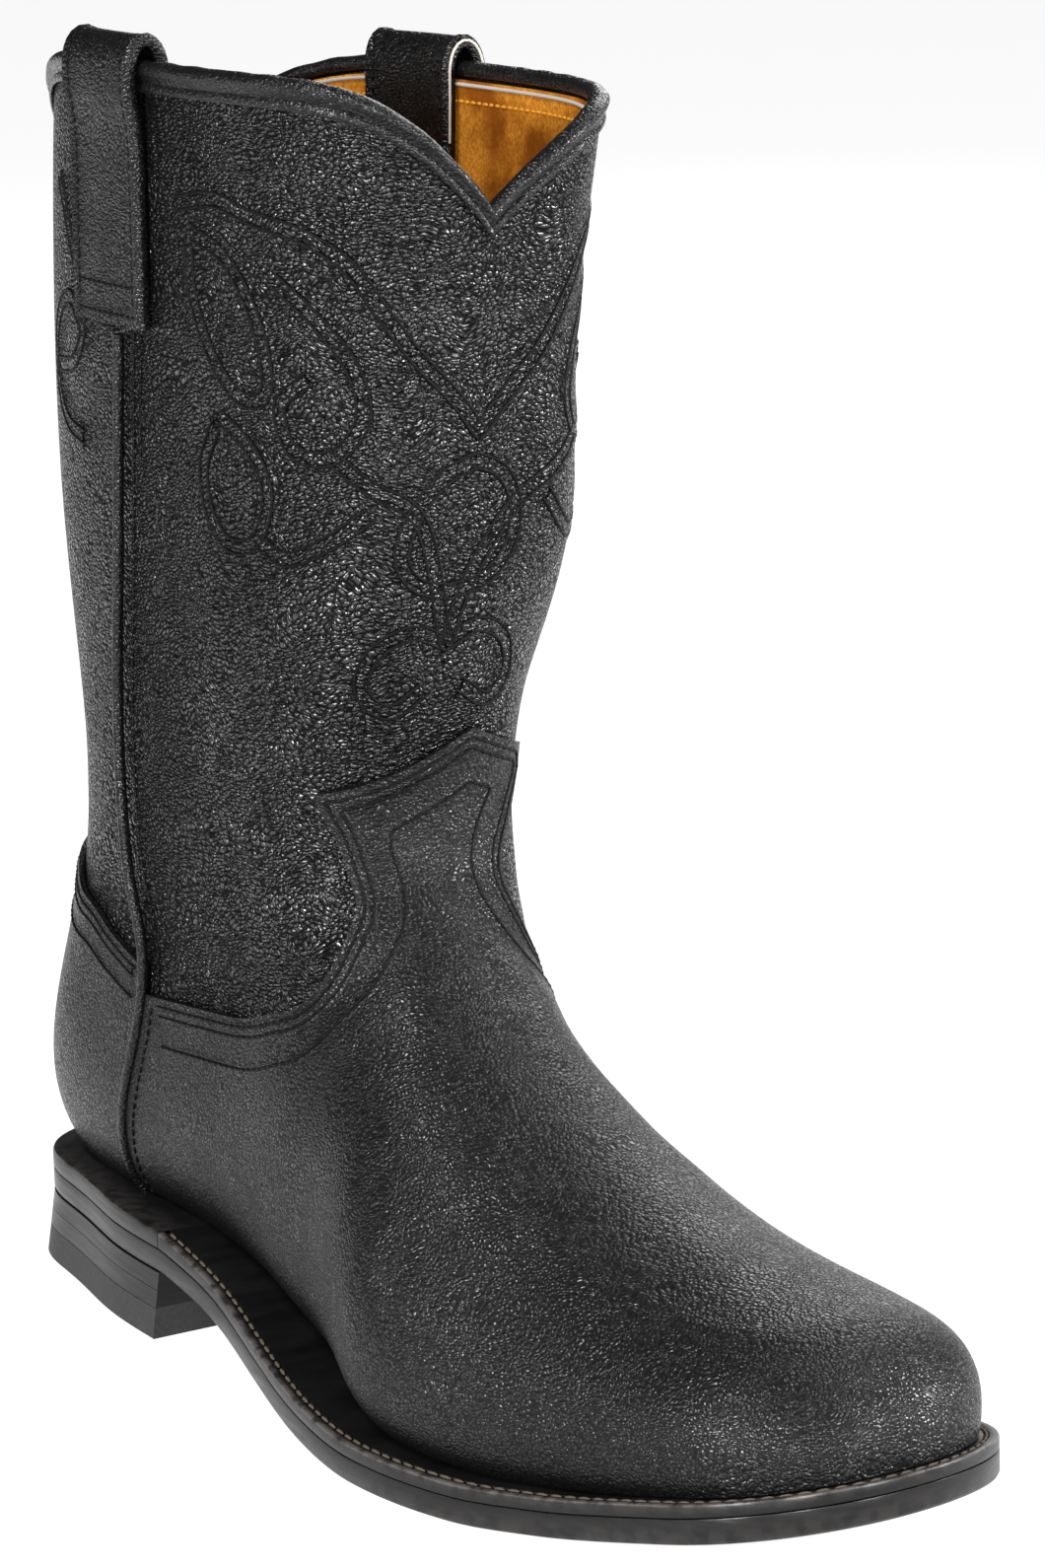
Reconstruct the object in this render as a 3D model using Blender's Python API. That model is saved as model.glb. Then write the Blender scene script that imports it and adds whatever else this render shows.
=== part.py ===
# A right-hand roper boot standing on its sole.
# X runs to the toe, Y to the wearer's left (the inner side), Z up. Lengths are in metres.
# The origin is on the ground under the middle of the heel. Each piece is drawn from the back of the heel,
# and one empty moves them all by half the heel's length.
import math

import bmesh
import bpy
import numpy as np
from mathutils import Vector
from mathutils.bvhtree import BVHTree

MM = 0.001

# Sole and heel
SOLE_LENGTH = 0.305
BALL_WIDTH = 0.104
HEEL_LENGTH = 0.087
HEEL_HEIGHT = 15.0 * MM
TOP_LIFT = 7.0 * MM
HEEL_FLARE = 2.2 * MM
OUTSOLE_THICKNESS = 5.5 * MM
WELT_THICKNESS = 3.0 * MM
HEEL_RAND = 4.5 * MM
WELT_MARGIN = 5.5 * MM
TOE_SPRING = 13.5 * MM
TOE_SWING = 7.3 * MM
SOLE_SHIFT = -1.7 * MM
EDGE_ROUNDING = 0.8 * MM
TOE_GAP = 0.8 * MM
END_TRIM = 0.15 * MM

# Shares of the sole's length: where the rand starts to thin into the welt, over what run, and where the toe swings in
RAND_END = 0.20
RAND_RUN = 0.18
SWING_START = 0.4
SWING_RUN = 0.5

# Upper
INSTEP_HEIGHT = 0.100
SHAFT_HEIGHT = 0.256
SHAFT_DEPTH = 0.163
SHAFT_WIDTH = 0.0868
WALL = 2.4 * MM
INSOLE_THICKNESS = 2.5 * MM
CLEARANCE = 0.3 * MM
INSOLE_FIT = 0.8 * MM
SOLE_DIP = 6.0 * MM
BULGE = 1.5 * MM
TOE_ROUND = 26.0 * MM
TOE_CAP_LIFT = 0.30
BULGE_RUN = 1.2

# Collar line: heights above the heel seat
OUTER_PEAK = 0.9844 * SHAFT_HEIGHT
INNER_PEAK = 0.9570 * SHAFT_HEIGHT
FRONT_DIP = 0.8730 * SHAFT_HEIGHT
BACK_DIP = 0.8867 * SHAFT_HEIGHT
BACK_HOLLOW = 3.0

# Overlays and trim
OVERLAY = 1.2 * MM
PIPING_RADIUS = 1.2 * MM
PIPING_STAND = 0.5 * MM
PIPING_CHANNEL = 1.6 * MM
BINDING_BAND = 5.0 * MM
BINDING_TAPE = 0.9 * MM
BEAD_WIDTH = 5.0 * MM
BEAD_HEIGHT = 3.8 * MM
STRAP_WIDTH = 33.0 * MM
STRAP_THICKNESS = 2.6 * MM
STRAP_LENGTH = 53.0 * MM
STRAP_RISE = 6.5 * MM
OUTER_STRAP_PLACE = 0.420 * SHAFT_DEPTH
INNER_STRAP_PLACE = 0.356 * SHAFT_DEPTH

SEAT = HEEL_HEIGHT + OUTSOLE_THICKNESS + HEEL_RAND
TIP = SOLE_LENGTH - WELT_MARGIN - TOE_GAP
CUTTER_DEPTH = 0.05
CUTTER_HALF_WIDTH = 0.12
CUTTER_LENGTH = 1.2 * SOLE_LENGTH

# Outline of the sole: share of its length, then the outer and the inner half width as shares of the ball width
OUTLINE = [
    (0.0, 0.760, 0.680),
    (0.1, 0.450, 0.440),
    (0.2, 0.445, 0.380),
    (0.3, 0.395, 0.320),
    (0.4, 0.384, 0.270),
    (0.5, 0.451, 0.285),
    (0.6, 0.528, 0.360),
    (0.7, 0.575, 0.450),
    (0.8, 0.546, 0.530),
    (0.9, 0.552, 0.700),
    (1.0, 0.725, 0.860),
]

# Underside forward of the heel: share of the way from the breast to the toe, shares of heel height and toe spring
UNDERSIDE = [
    (0.005, 1.00, 0.00),
    (0.100, 0.80, 0.00),
    (0.236, 0.38, 0.00),
    (0.375, 0.10, 0.00),
    (0.486, 0.00, 0.00),
    (0.625, 0.00, 0.00),
    (0.722, 0.00, 0.12),
    (0.861, 0.00, 0.50),
    (1.000, 0.00, 1.00),
]
TREAD_START, TREAD_END = UNDERSIDE[4][0], UNDERSIDE[5][0]

# Sections of the foot: top and bottom as shares of the sole's length, height as a share of the instep height,
# belly (height of the widest point), squareness of the upper half and of the lower half
FOOT_SECTIONS = [
    (0.980, 0.980, 0.235, 0.42, 2.3, 3.0),
    (0.943, 0.943, 0.262, 0.42, 2.2, 3.0),
    (0.893, 0.893, 0.300, 0.42, 2.1, 3.0),
    (0.817, 0.817, 0.378, 0.40, 2.0, 3.0),
    (0.733, 0.733, 0.468, 0.38, 1.9, 3.0),
    (0.640, 0.645, 0.620, 0.36, 1.9, 3.0),
    (0.553, 0.560, 0.815, 0.34, 2.0, 2.8),
]

# Sections round the heel and up the leg: front and back as shares of the shaft's depth, their heights as shares of
# the shaft's height, outer and inner half width and centre as shares of the shaft's width, belly, two squarenesses
LEG_SECTIONS = [
    (0.910, 0.330, 0.859, -0.066, 0.405, 0.360, -0.030, 0.33, 2.2, 2.6),
    (0.896, 0.396, 0.650, -0.040, 0.398, 0.375, 0.000, 0.33, 2.2, 2.4),
    (0.908, 0.447, 0.418, -0.040, 0.398, 0.395, 0.006, 0.32, 2.4, 2.3),
    (0.926, 0.516, 0.130, -0.055, 0.415, 0.430, 0.012, 0.32, 2.7, 2.2),
    (0.937, 0.566, -0.035, 0.000, 0.425, 0.480, 0.016, 0.32, 2.9, 2.2),
    (0.942, 0.613, 0.045, 0.137, 0.430, 0.508, 0.046, 0.36, 3.1, 2.1),
    (0.941, 0.664, 0.058, 0.258, 0.444, 0.503, 0.094, 0.42, 3.1, 2.1),
    (0.936, 0.719, -0.008, 0.391, 0.476, 0.482, 0.130, 0.46, 3.0, 2.0),
    (0.934, 0.785, -0.063, 0.547, 0.493, 0.475, 0.146, 0.50, 3.0, 2.05),
    (0.940, 0.855, -0.073, 0.723, 0.501, 0.480, 0.161, 0.50, 3.1, 2.05),
    (0.955, 0.926, -0.052, 0.926, 0.505, 0.484, 0.172, 0.50, 3.4, 2.05),
    (0.972, 1.016, -0.037, 1.016, 0.510, 0.484, 0.187, 0.50, 3.5, 2.05),
]

# Side seam, from the seat up to the strap: share of the sole's length, share of the shaft's height above the seat
SIDE_SEAM = [
    (0.190, 0.012),
    (0.200, 0.055),
    (0.222, 0.110),
    (0.240, 0.150),
    (0.258, 0.199),
    (0.264, 0.245),
    (0.248, 0.293),
    (0.219, 0.372),
    (0.208, 0.456),
    (0.224, 0.580),
    (0.2365, 0.780),
]

# Upper edge of the vamp in side view, from the side seam forward and up to the corner of the tongue
VAMP_EDGE = [
    (0.281, 0.203),
    (0.331, 0.207),
    (0.395, 0.214),
    (0.436, 0.228),
    (0.468, 0.243),
    (0.487, 0.274),
    (0.486, 0.316),
    (0.471, 0.362),
    (0.454, 0.408),
]

# Top of the tongue in front view: its peak as shares of the shaft's width and height, and its fall to both sides
TONGUE_PEAK = (0.100, 0.459)
TONGUE_FALL = 0.355

# Upper edge of the counter in side view, from the side seam to behind the heel
COUNTER_EDGE = [
    (0.247, 0.230),
    (0.213, 0.245),
    (0.181, 0.261),
    (0.150, 0.268),
    (0.060, 0.290),
    (-0.100, 0.305),
]

# Stations along the loft: the toe, the foot, round the heel and up the shaft
TOE_ROWS = 2
LAST_ROW = len(FOOT_SECTIONS) + len(LEG_SECTIONS) - 1
SHAFT_ROW = 12.0
FIRST_STATION = 0.09
TOE_STATIONS = 5
FOOT_STATIONS = 17
SHAFT_STATIONS = 8
COLUMNS = 32


def smooth_step(value):
    value = np.clip(value, 0.0, 1.0)
    return value * value * (3 - 2 * value)


def b_spline(rows, t):
    """The rows blended as a uniform cubic B-spline, at the row numbers t."""
    rows = np.asarray(rows, float)
    full = np.vstack([2 * rows[0] - rows[1], rows, 2 * rows[-1] - rows[-2]])
    t = np.clip(t, 0, len(rows) - 1)
    first = np.minimum(t.astype(int), len(rows) - 2)
    u = (t - first)[..., None]
    weights = [
        (1 - u) ** 3 / 6,
        (3 * u**3 - 6 * u**2 + 4) / 6,
        (-3 * u**3 + 3 * u**2 + 3 * u + 1) / 6,
        u**3 / 6,
    ]
    return sum(weights[k] * full[first + k] for k in range(4))


def steady_curve(knots, values, x):
    """A smooth curve through the knots that never overshoots them."""
    knots = np.asarray(knots, float)
    values = np.asarray(values, float)
    step = np.diff(knots)
    rise = np.diff(values) / step
    product = rise[:-1] * rise[1:]
    total = np.where(product > 0, rise[:-1] + rise[1:], 1.0)
    slope = np.concatenate([[rise[0]], np.where(product > 0, 2 * product / total, 0.0), [rise[-1]]])
    x = np.clip(x, knots[0], knots[-1])
    i = np.clip(np.searchsorted(knots, x, side="right") - 1, 0, len(step) - 1)
    t = (x - knots[i]) / step[i]
    rest = 1 - t
    flat = values[i] * (1 + 2 * t) * rest**2 + values[i + 1] * t**2 * (3 - 2 * t)
    return flat + step[i] * (slope[i] * t * rest**2 - slope[i + 1] * t**2 * rest)


def ahead_of_heel(share):
    return HEEL_LENGTH + share * (SOLE_LENGTH - HEEL_LENGTH)


def underside(x):
    table = np.array(UNDERSIDE)
    height = table[:, 1] * HEEL_HEIGHT + table[:, 2] * TOE_SPRING
    return steady_curve(ahead_of_heel(table[:, 0]), height, x)


def sole_top(x):
    """Height of the welt's upper face: it thickens into the heel rand behind the waist."""
    share = 1 - smooth_step((x / SOLE_LENGTH - RAND_END) / RAND_RUN)
    return underside(x) + OUTSOLE_THICKNESS + WELT_THICKNESS + (HEEL_RAND - WELT_THICKNESS) * share


def outline_loop(inset, count=161):
    """The sole's outline moved in by inset: from the toe along the outer side to the heel and back inside."""
    turn = np.linspace(0, math.pi, count)
    along = (1 + np.cos(turn)) / 2
    table = b_spline(OUTLINE, along * (len(OUTLINE) - 1))
    swell = 2 * np.sqrt(along * (1 - along)) * BALL_WIDTH
    swing = SOLE_SHIFT + TOE_SWING * smooth_step((along - SWING_START) / SWING_RUN)
    outer = np.column_stack([along * SOLE_LENGTH, swing - table[:, 1] * swell])
    inner = np.column_stack([along * SOLE_LENGTH, swing + table[:, 2] * swell])[::-1]
    loop = np.vstack([outer, inner[1:-1]])
    tangent = np.roll(loop, -1, axis=0) - np.roll(loop, 1, axis=0)
    outward = np.column_stack([-tangent[:, 1], tangent[:, 0]])
    outward /= np.linalg.norm(outward, axis=1)[:, None]
    if outward[0, 0] < 0:
        outward = -outward
    moved = loop - outward * inset
    return moved[:count][::-1], np.vstack([moved[count - 1 :], moved[:1]])


def edges_at(x, inset):
    """Y of the outer and of the inner edge at x."""
    outer, inner = outline_loop(inset)
    return np.interp(x, outer[:, 0], outer[:, 1]), np.interp(x, inner[:, 0], inner[:, 1])


def section_rows():
    """Every section as (top x, top z, bottom x, bottom z, outer, inner, centre, belly, squareness, squareness)."""
    rows = []
    first_leg = LEG_SECTIONS[0]
    widths = [share * SHAFT_WIDTH for share in first_leg[4:7]]
    for top, bottom, height, belly, upper_square, lower_square in FOOT_SECTIONS:
        base = float(sole_top(bottom * SOLE_LENGTH))
        top_z = float(sole_top(top * SOLE_LENGTH)) + height * INSTEP_HEIGHT
        sides = [top * SOLE_LENGTH, top_z, bottom * SOLE_LENGTH, base - SOLE_DIP]
        rows.append(sides + widths + [belly, upper_square, lower_square])
    for front, front_z, back, back_z, outer, inner, centre, belly, front_square, back_square in LEG_SECTIONS:
        sides = [front * SHAFT_DEPTH, SEAT + front_z * SHAFT_HEIGHT]
        sides += [back * SHAFT_DEPTH, SEAT + back_z * SHAFT_HEIGHT]
        across = [share * SHAFT_WIDTH for share in (outer, inner, centre)]
        rows.append(sides + across + [belly, front_square, back_square])
    return np.array(rows)


def form_points(t, theta):
    """Points of the boot's outer form at station t and at angle theta round the section.

    Theta 0 is the top of the foot and the front of the leg, a quarter turn is the outer side.
    """
    rows = section_rows()
    values = b_spline(rows, t)
    top_x, top_z, bottom_x, bottom_z = [values[..., k] for k in range(4)]
    outer, inner, centre, belly, front_square, back_square = [values[..., k] for k in range(4, 10)]
    toe_start = b_spline(rows, np.array([float(TOE_ROWS)]))[0, 2]
    toe_turn = np.clip(t / TOE_ROWS, 0, 1) * math.pi / 2
    toe_x = TIP - (TIP - toe_start) * (1 - np.cos(toe_turn))
    in_toe = t < TOE_ROWS
    top_x = np.where(in_toe, toe_x, top_x)
    bottom_x = np.where(in_toe, toe_x, bottom_x)
    foot_outer, foot_inner = edges_at(bottom_x, WELT_MARGIN)
    bulge = BULGE * np.clip((TIP - bottom_x) / (BULGE_RUN * TOE_ROUND), 0, 1)
    foot_outer = foot_outer - bulge
    foot_inner = foot_inner + bulge
    middle = (foot_outer + foot_inner) / 2
    share = 1 - smooth_step((t - (len(FOOT_SECTIONS) - 2)) / 2)
    outer = outer + share * (middle - foot_outer - outer)
    inner = inner + share * (foot_inner - middle - inner)
    centre = centre + share * (middle - centre)
    cosine = np.cos(theta)
    sine = np.sin(theta)
    square = np.where(cosine >= 0, front_square, back_square)
    reach = np.abs(cosine) ** (2 / square)
    height = np.where(cosine >= 0, belly + (1 - belly) * reach, belly - belly * reach)
    width = np.abs(sine) ** (2 / square)
    y = centre + np.where(sine >= 0, -outer * width, inner * width)
    closing = 1 - np.clip((TIP - bottom_x) / TOE_ROUND, 0, 1)
    lift = TOE_CAP_LIFT + (1 - TOE_CAP_LIFT) * np.sqrt(1 - closing**2)
    z = bottom_z + (top_z - bottom_z) * height * lift
    return np.stack([bottom_x + (top_x - bottom_x) * height, y, z], axis=-1)


def collar_height(theta):
    """Height of the shaft's rim round the collar: two side peaks, a front notch and a back dip."""
    front_square, back_square = LEG_SECTIONS[-1][8:10]
    square = np.where(np.cos(theta) >= 0, front_square, back_square)
    width = np.abs(np.sin(theta)) ** (2 / square)
    low = np.where(np.cos(theta) >= 0, FRONT_DIP, BACK_DIP)
    high = np.where(np.sin(theta) >= 0, OUTER_PEAK, INNER_PEAK)
    hollow = np.where(np.cos(theta) >= 0, 1.0, BACK_HOLLOW)
    return SEAT + low + (high - low) * np.sin(width * math.pi / 2) ** hollow


def collar_stations(theta):
    """The station t at which each column of the form reaches the rim."""
    low = np.full(theta.shape, SHAFT_ROW)
    high = np.full(theta.shape, float(LAST_ROW))
    for _ in range(30):
        middle = (low + high) / 2
        above = form_points(middle, theta)[..., 2] > collar_height(theta)
        high = np.where(above, middle, high)
        low = np.where(above, low, middle)
    return (low + high) / 2


def form_grid():
    """Rings of points from the toe to the collar, each ring closed round the section."""
    theta = np.linspace(0, 2 * math.pi, COLUMNS, endpoint=False)
    toe = TOE_ROWS * np.linspace(FIRST_STATION, 1, TOE_STATIONS, endpoint=False)
    foot = np.linspace(TOE_ROWS, SHAFT_ROW, FOOT_STATIONS, endpoint=False)
    lower = np.concatenate([toe, foot])
    share = np.linspace(0, 1, SHAFT_STATIONS)[:, None]
    rim = collar_stations(theta)
    stations = np.vstack([np.repeat(lower[:, None], COLUMNS, axis=1), SHAFT_ROW + (rim - SHAFT_ROW) * share])
    return form_points(stations, np.broadcast_to(theta, stations.shape))


def grid_normals(grid):
    """Outward normals of the form's grid."""
    around = np.roll(grid, -1, axis=1) - np.roll(grid, 1, axis=1)
    along = np.gradient(grid, axis=0)
    normal = np.cross(along, around)
    normal /= np.linalg.norm(normal, axis=2)[..., None]
    return normal


def offset_form(grid, distance):
    return grid + grid_normals(grid) * distance


def new_collection(name):
    made = bpy.data.collections.new(name)
    bpy.context.scene.collection.children.link(made)
    return made


def principled(name, colour, roughness, metallic=0.0):
    material = bpy.data.materials.new(name)
    material.use_nodes = True
    shader = material.node_tree.nodes["Principled BSDF"]
    shader.inputs["Base Color"].default_value = (*colour, 1.0)
    shader.inputs["Roughness"].default_value = roughness
    shader.inputs["Metallic"].default_value = metallic
    material.diffuse_color = (*colour, 1.0)
    return material


def add_mesh(name, points, faces, collection, material=None):
    """A named object from points and faces, with its faces turned outwards."""
    mesh = bpy.data.meshes.new(name)
    mesh.from_pydata([tuple(point) for point in points], [], faces)
    shape = bmesh.new()
    shape.from_mesh(mesh)
    bmesh.ops.recalc_face_normals(shape, faces=shape.faces)
    shape.to_mesh(mesh)
    shape.free()
    if material:
        mesh.materials.append(material)
    made = bpy.data.objects.new(name, mesh)
    collection.objects.link(made)
    return made


def ring_faces(rings, columns, start=0):
    """Two triangles between each pair of neighbouring points on neighbouring closed rings.

    Every shell is split along the same diagonals, so that the gap between two of them stays even.
    """
    faces = []
    for i in range(rings - 1):
        for j in range(columns):
            low = start + i * columns + j
            low_next = start + i * columns + (j + 1) % columns
            faces.append((low, low_next, low_next + columns))
            faces.append((low, low_next + columns, low + columns))
    return faces


def shell(name, outer, inner, collection, material=None):
    """A closed shell between two form grids: closed toes and one strip that joins their open rims."""
    rings, columns = outer.shape[:2]
    points = np.vstack([outer.reshape(-1, 3), inner.reshape(-1, 3)])
    start = rings * columns
    faces = ring_faces(rings, columns)
    faces += [tuple(reversed(face)) for face in ring_faces(rings, columns, start)]
    faces.append(tuple(reversed(range(columns))))
    faces.append(tuple(start + j for j in range(columns)))
    rim = (rings - 1) * columns
    for j in range(columns):
        k = (j + 1) % columns
        faces.append((rim + j, rim + k, start + rim + k, start + rim + j))
    return add_mesh(name, points, faces, collection, material)


def solid_form(name, grid, collection):
    """The form as one filled solid, closed at the toe and at the collar."""
    rings, columns = grid.shape[:2]
    faces = ring_faces(rings, columns)
    faces.append(tuple(reversed(range(columns))))
    faces.append(tuple((rings - 1) * columns + j for j in range(columns)))
    return add_mesh(name, grid.reshape(-1, 3), faces, collection)


def side_prism(name, outline, collection):
    """A cutter with the given outline in side view, across the whole boot."""
    near = [(x, -CUTTER_HALF_WIDTH, z) for x, z in outline]
    far = [(x, CUTTER_HALF_WIDTH, z) for x, z in outline]
    return prism(name, near, far, collection)


def front_prism(name, outline, collection):
    """A cutter with the given outline in front view, along the whole boot."""
    near = [(CUTTER_LENGTH, y, z) for y, z in outline]
    far = [(-CUTTER_DEPTH, y, z) for y, z in outline]
    return prism(name, near, far, collection)


def prism(name, near, far, collection):
    count = len(near)
    points = near + far
    faces = [tuple(range(count)), tuple(reversed(range(count, 2 * count)))]
    for i in range(count):
        k = (i + 1) % count
        faces.append((i, k, count + k, count + i))
    return hide(add_mesh(name, points, faces, collection))


def hide(cutter):
    cutter.hide_render = True
    cutter.display_type = "WIRE"
    return cutter


def cut(target, cutter, operation="DIFFERENCE"):
    modifier = target.modifiers.new(f"{operation.lower()} {cutter.name}", "BOOLEAN")
    modifier.operation = operation
    modifier.object = cutter
    modifier.solver = "EXACT"


def sole_block(collection):
    """All that lies below the welt's upper face, as a cutter."""
    x = np.linspace(-0.1 * SOLE_LENGTH, 1.1 * SOLE_LENGTH, 61)
    top = [(float(a), float(sole_top(np.clip(a, 0, SOLE_LENGTH))) + CLEARANCE) for a in x]
    return side_prism("sole_block", top + [(x[-1], -CUTTER_DEPTH), (x[0], -CUTTER_DEPTH)], collection)


def make_upper(grid, parts, cutters, material):
    upper = shell("upper", grid, offset_form(grid, -WALL), parts, material)
    cut(upper, cutters.objects["sole_block"])
    upper.data.shade_smooth()
    return upper


def plate(name, bounds, inset, low, high, parts, material, sides=(0.0, 0.0), count=28):
    """A flat layer of the sole between two x bounds and two heights, given as functions of x.

    Sides are how far the lower and the upper edge stand out of the outline that inset gives.
    """
    outer, inner = outline_loop(inset)
    start = max(bounds[0], float(outer[0, 0]))
    end = min(bounds[1], float(outer[-1, 0]))
    turn_start = math.acos(np.clip(1 - 2 * start / SOLE_LENGTH, -1, 1))
    turn_end = math.acos(np.clip(1 - 2 * end / SOLE_LENGTH, -1, 1))
    x = (1 - np.cos(np.linspace(turn_start, turn_end, count))) * SOLE_LENGTH / 2
    x = np.clip(x, start + END_TRIM * (start <= outer[0, 0]), end - END_TRIM * (end >= outer[-1, 0]))
    turns = [HEEL_LENGTH, ahead_of_heel(TREAD_START), ahead_of_heel(TREAD_END)]
    x = np.unique(np.concatenate([x, [turn for turn in turns if x[0] < turn < x[-1]]]))
    y_outer = np.interp(x, outer[:, 0], outer[:, 1])
    y_inner = np.interp(x, inner[:, 0], inner[:, 1])
    low_z = low(x)
    high_z = high(x)
    rounding = np.minimum(EDGE_ROUNDING, (high_z - low_z) / 4)
    pull = np.minimum(rounding, (y_inner - y_outer) / 4)
    lower, upper = sides
    ring = [
        (y_outer - lower + pull, low_z),
        (y_inner + lower - pull, low_z),
        (y_inner + lower, low_z + rounding),
        (y_inner + upper, high_z - rounding),
        (y_inner + upper - pull, high_z),
        (y_outer - upper + pull, high_z),
        (y_outer - upper, high_z - rounding),
        (y_outer - lower, low_z + rounding),
    ]
    points = np.stack([np.column_stack([x, y, z]) for y, z in ring], axis=1)
    faces = ring_faces(len(x), len(ring))
    faces.append(tuple(reversed(range(len(ring)))))
    faces.append(tuple((len(x) - 1) * len(ring) + j for j in range(len(ring))))
    return add_mesh(name, points.reshape(-1, 3), faces, parts, material)


def level(height):
    return lambda x: np.full(np.shape(x), height)


def side_point(share_x, share_z):
    return share_x * SOLE_LENGTH, SEAT + share_z * SHAFT_HEIGHT


def seam_line(shift, count=15):
    """The side seam in side view, moved forward by shift, from below the seat to its upper end."""
    knots = np.linspace(0, len(SIDE_SEAM) - 1, count)
    line = [side_point(*share) for share in b_spline(SIDE_SEAM, knots)]
    foot = (line[0][0], 0.0)
    return [(x + shift, z) for x, z in [foot] + line]


def below(line, height):
    return [point for point in line if point[1] < height]


def make_overlays(grid, parts, cutters, material):
    """Vamp and counter lie on the upper, apart at the side seam, where the piping runs between them."""
    near = offset_form(grid, CLEARANCE)
    far = offset_form(grid, CLEARANCE + OVERLAY)
    edge = [side_point(*share) for share in VAMP_EDGE]
    seam = below(seam_line(PIPING_CHANNEL), edge[0][1])
    above = SEAT + SHAFT_HEIGHT
    vamp_outline = seam + edge + [(edge[-1][0], above), (CUTTER_LENGTH, above), (CUTTER_LENGTH, 0.0)]
    top = [side_point(*share) for share in COUNTER_EDGE]
    seam = below(seam_line(-PIPING_CHANNEL), top[0][1])
    counter_outline = seam + top + [(top[-1][0], 0.0)]
    for name, outline in [("vamp", vamp_outline), ("counter", counter_outline)]:
        panel = shell(name, far, near, parts, material)
        cut(panel, side_prism(f"{name}_outline", outline, cutters), "INTERSECT")
        cut(panel, cutters.objects["sole_block"])
        panel.data.shade_smooth()
    cut(parts.objects["vamp"], tongue_roof(cutters), "INTERSECT")


def tongue_roof(cutters):
    peak_y = TONGUE_PEAK[0] * SHAFT_WIDTH
    peak_z = SEAT + TONGUE_PEAK[1] * SHAFT_HEIGHT
    eave = peak_z - TONGUE_FALL * CUTTER_HALF_WIDTH
    left, right = peak_y - CUTTER_HALF_WIDTH, peak_y + CUTTER_HALF_WIDTH
    roof = [(left, -CUTTER_DEPTH), (right, -CUTTER_DEPTH), (right, eave), (peak_y, peak_z), (left, eave)]
    return front_prism("tongue_roof", roof, cutters)


def form_tree(grid):
    rings, columns = grid.shape[:2]
    points = [Vector(point) for point in grid.reshape(-1, 3)]
    return BVHTree.FromPolygons(points, ring_faces(rings, columns))


def on_side(tree, x, z, side):
    """Where the form's side lies at x and z, and its outward normal there; side is -1 outside, 1 inside."""
    place, normal, _, _ = tree.ray_cast(Vector((x, side, z)), Vector((0, -side, 0)))
    if normal.y * side < 0:
        normal = -normal
    return place, normal


def tube(name, path, radius, collection, material):
    """A round cord along the path, closed at its ends."""
    curve = bpy.data.curves.new(name, "CURVE")
    curve.dimensions = "3D"
    curve.bevel_depth = radius
    curve.bevel_resolution = 1
    curve.use_fill_caps = True
    spline = curve.splines.new("POLY")
    spline.points.add(len(path) - 1)
    for point, place in zip(spline.points, path):
        point.co = (*place, 1.0)
    curve.materials.append(material)
    made = bpy.data.objects.new(name, curve)
    collection.objects.link(made)


def make_piping(tree, parts, material):
    """A cord along each side seam, just clear of the upper."""
    for side, peak, word in [(-1, OUTER_PEAK, "outer"), (1, INNER_PEAK, "inner")]:
        path = []
        strap_end = SEAT + peak - STRAP_LENGTH - PIPING_RADIUS
        for x, z in below(seam_line(0.0, count=40)[1::2], strap_end):
            place, normal = on_side(tree, x, z, side)
            path.append(place + normal * (PIPING_RADIUS + PIPING_STAND))
        tube(f"side_piping_{word}", path, PIPING_RADIUS, parts, material)


def make_binding(grid, parts, material):
    """The tape outside the rim and the rolled bead over it, as one closed ring."""
    rim = grid[-1]
    normal = grid_normals(grid)[-1]
    normal[:, 2] = 0
    normal /= np.linalg.norm(normal, axis=1)[:, None]
    low = CLEARANCE
    half = BEAD_WIDTH / 2
    middle = -WALL / 2 + low + BINDING_TAPE / 2
    profile = [(low, -BINDING_BAND), (low + BINDING_TAPE, -BINDING_BAND), (low + BINDING_TAPE, -BEAD_HEIGHT / 4)]
    for turn in np.radians(np.linspace(-30, 210, 9)):
        profile.append((middle + half * math.cos(turn), low + BEAD_HEIGHT * (0.5 + 0.5 * math.sin(turn))))
    profile.append((low, low))
    drop = offset_down(grid)
    rings = []
    for out, up in profile:
        base = rim + drop * max(-up, 0)
        rings.append(base + normal * out + np.array([0, 0, max(up, 0)]))
    rings.append(rings[0])
    points = np.array(rings[:-1])
    count, columns = points.shape[:2]
    faces = ring_faces(count, columns)
    for j in range(columns):
        k = (j + 1) % columns
        last = (count - 1) * columns
        faces.append((last + j, last + k, k, j))
    add_mesh("collar_binding", points.reshape(-1, 3), faces, parts, material).data.shade_smooth()


def offset_down(grid):
    """Unit steps down each column from the rim."""
    step = grid[-2] - grid[-1]
    return step / np.linalg.norm(step, axis=1)[:, None]


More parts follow.
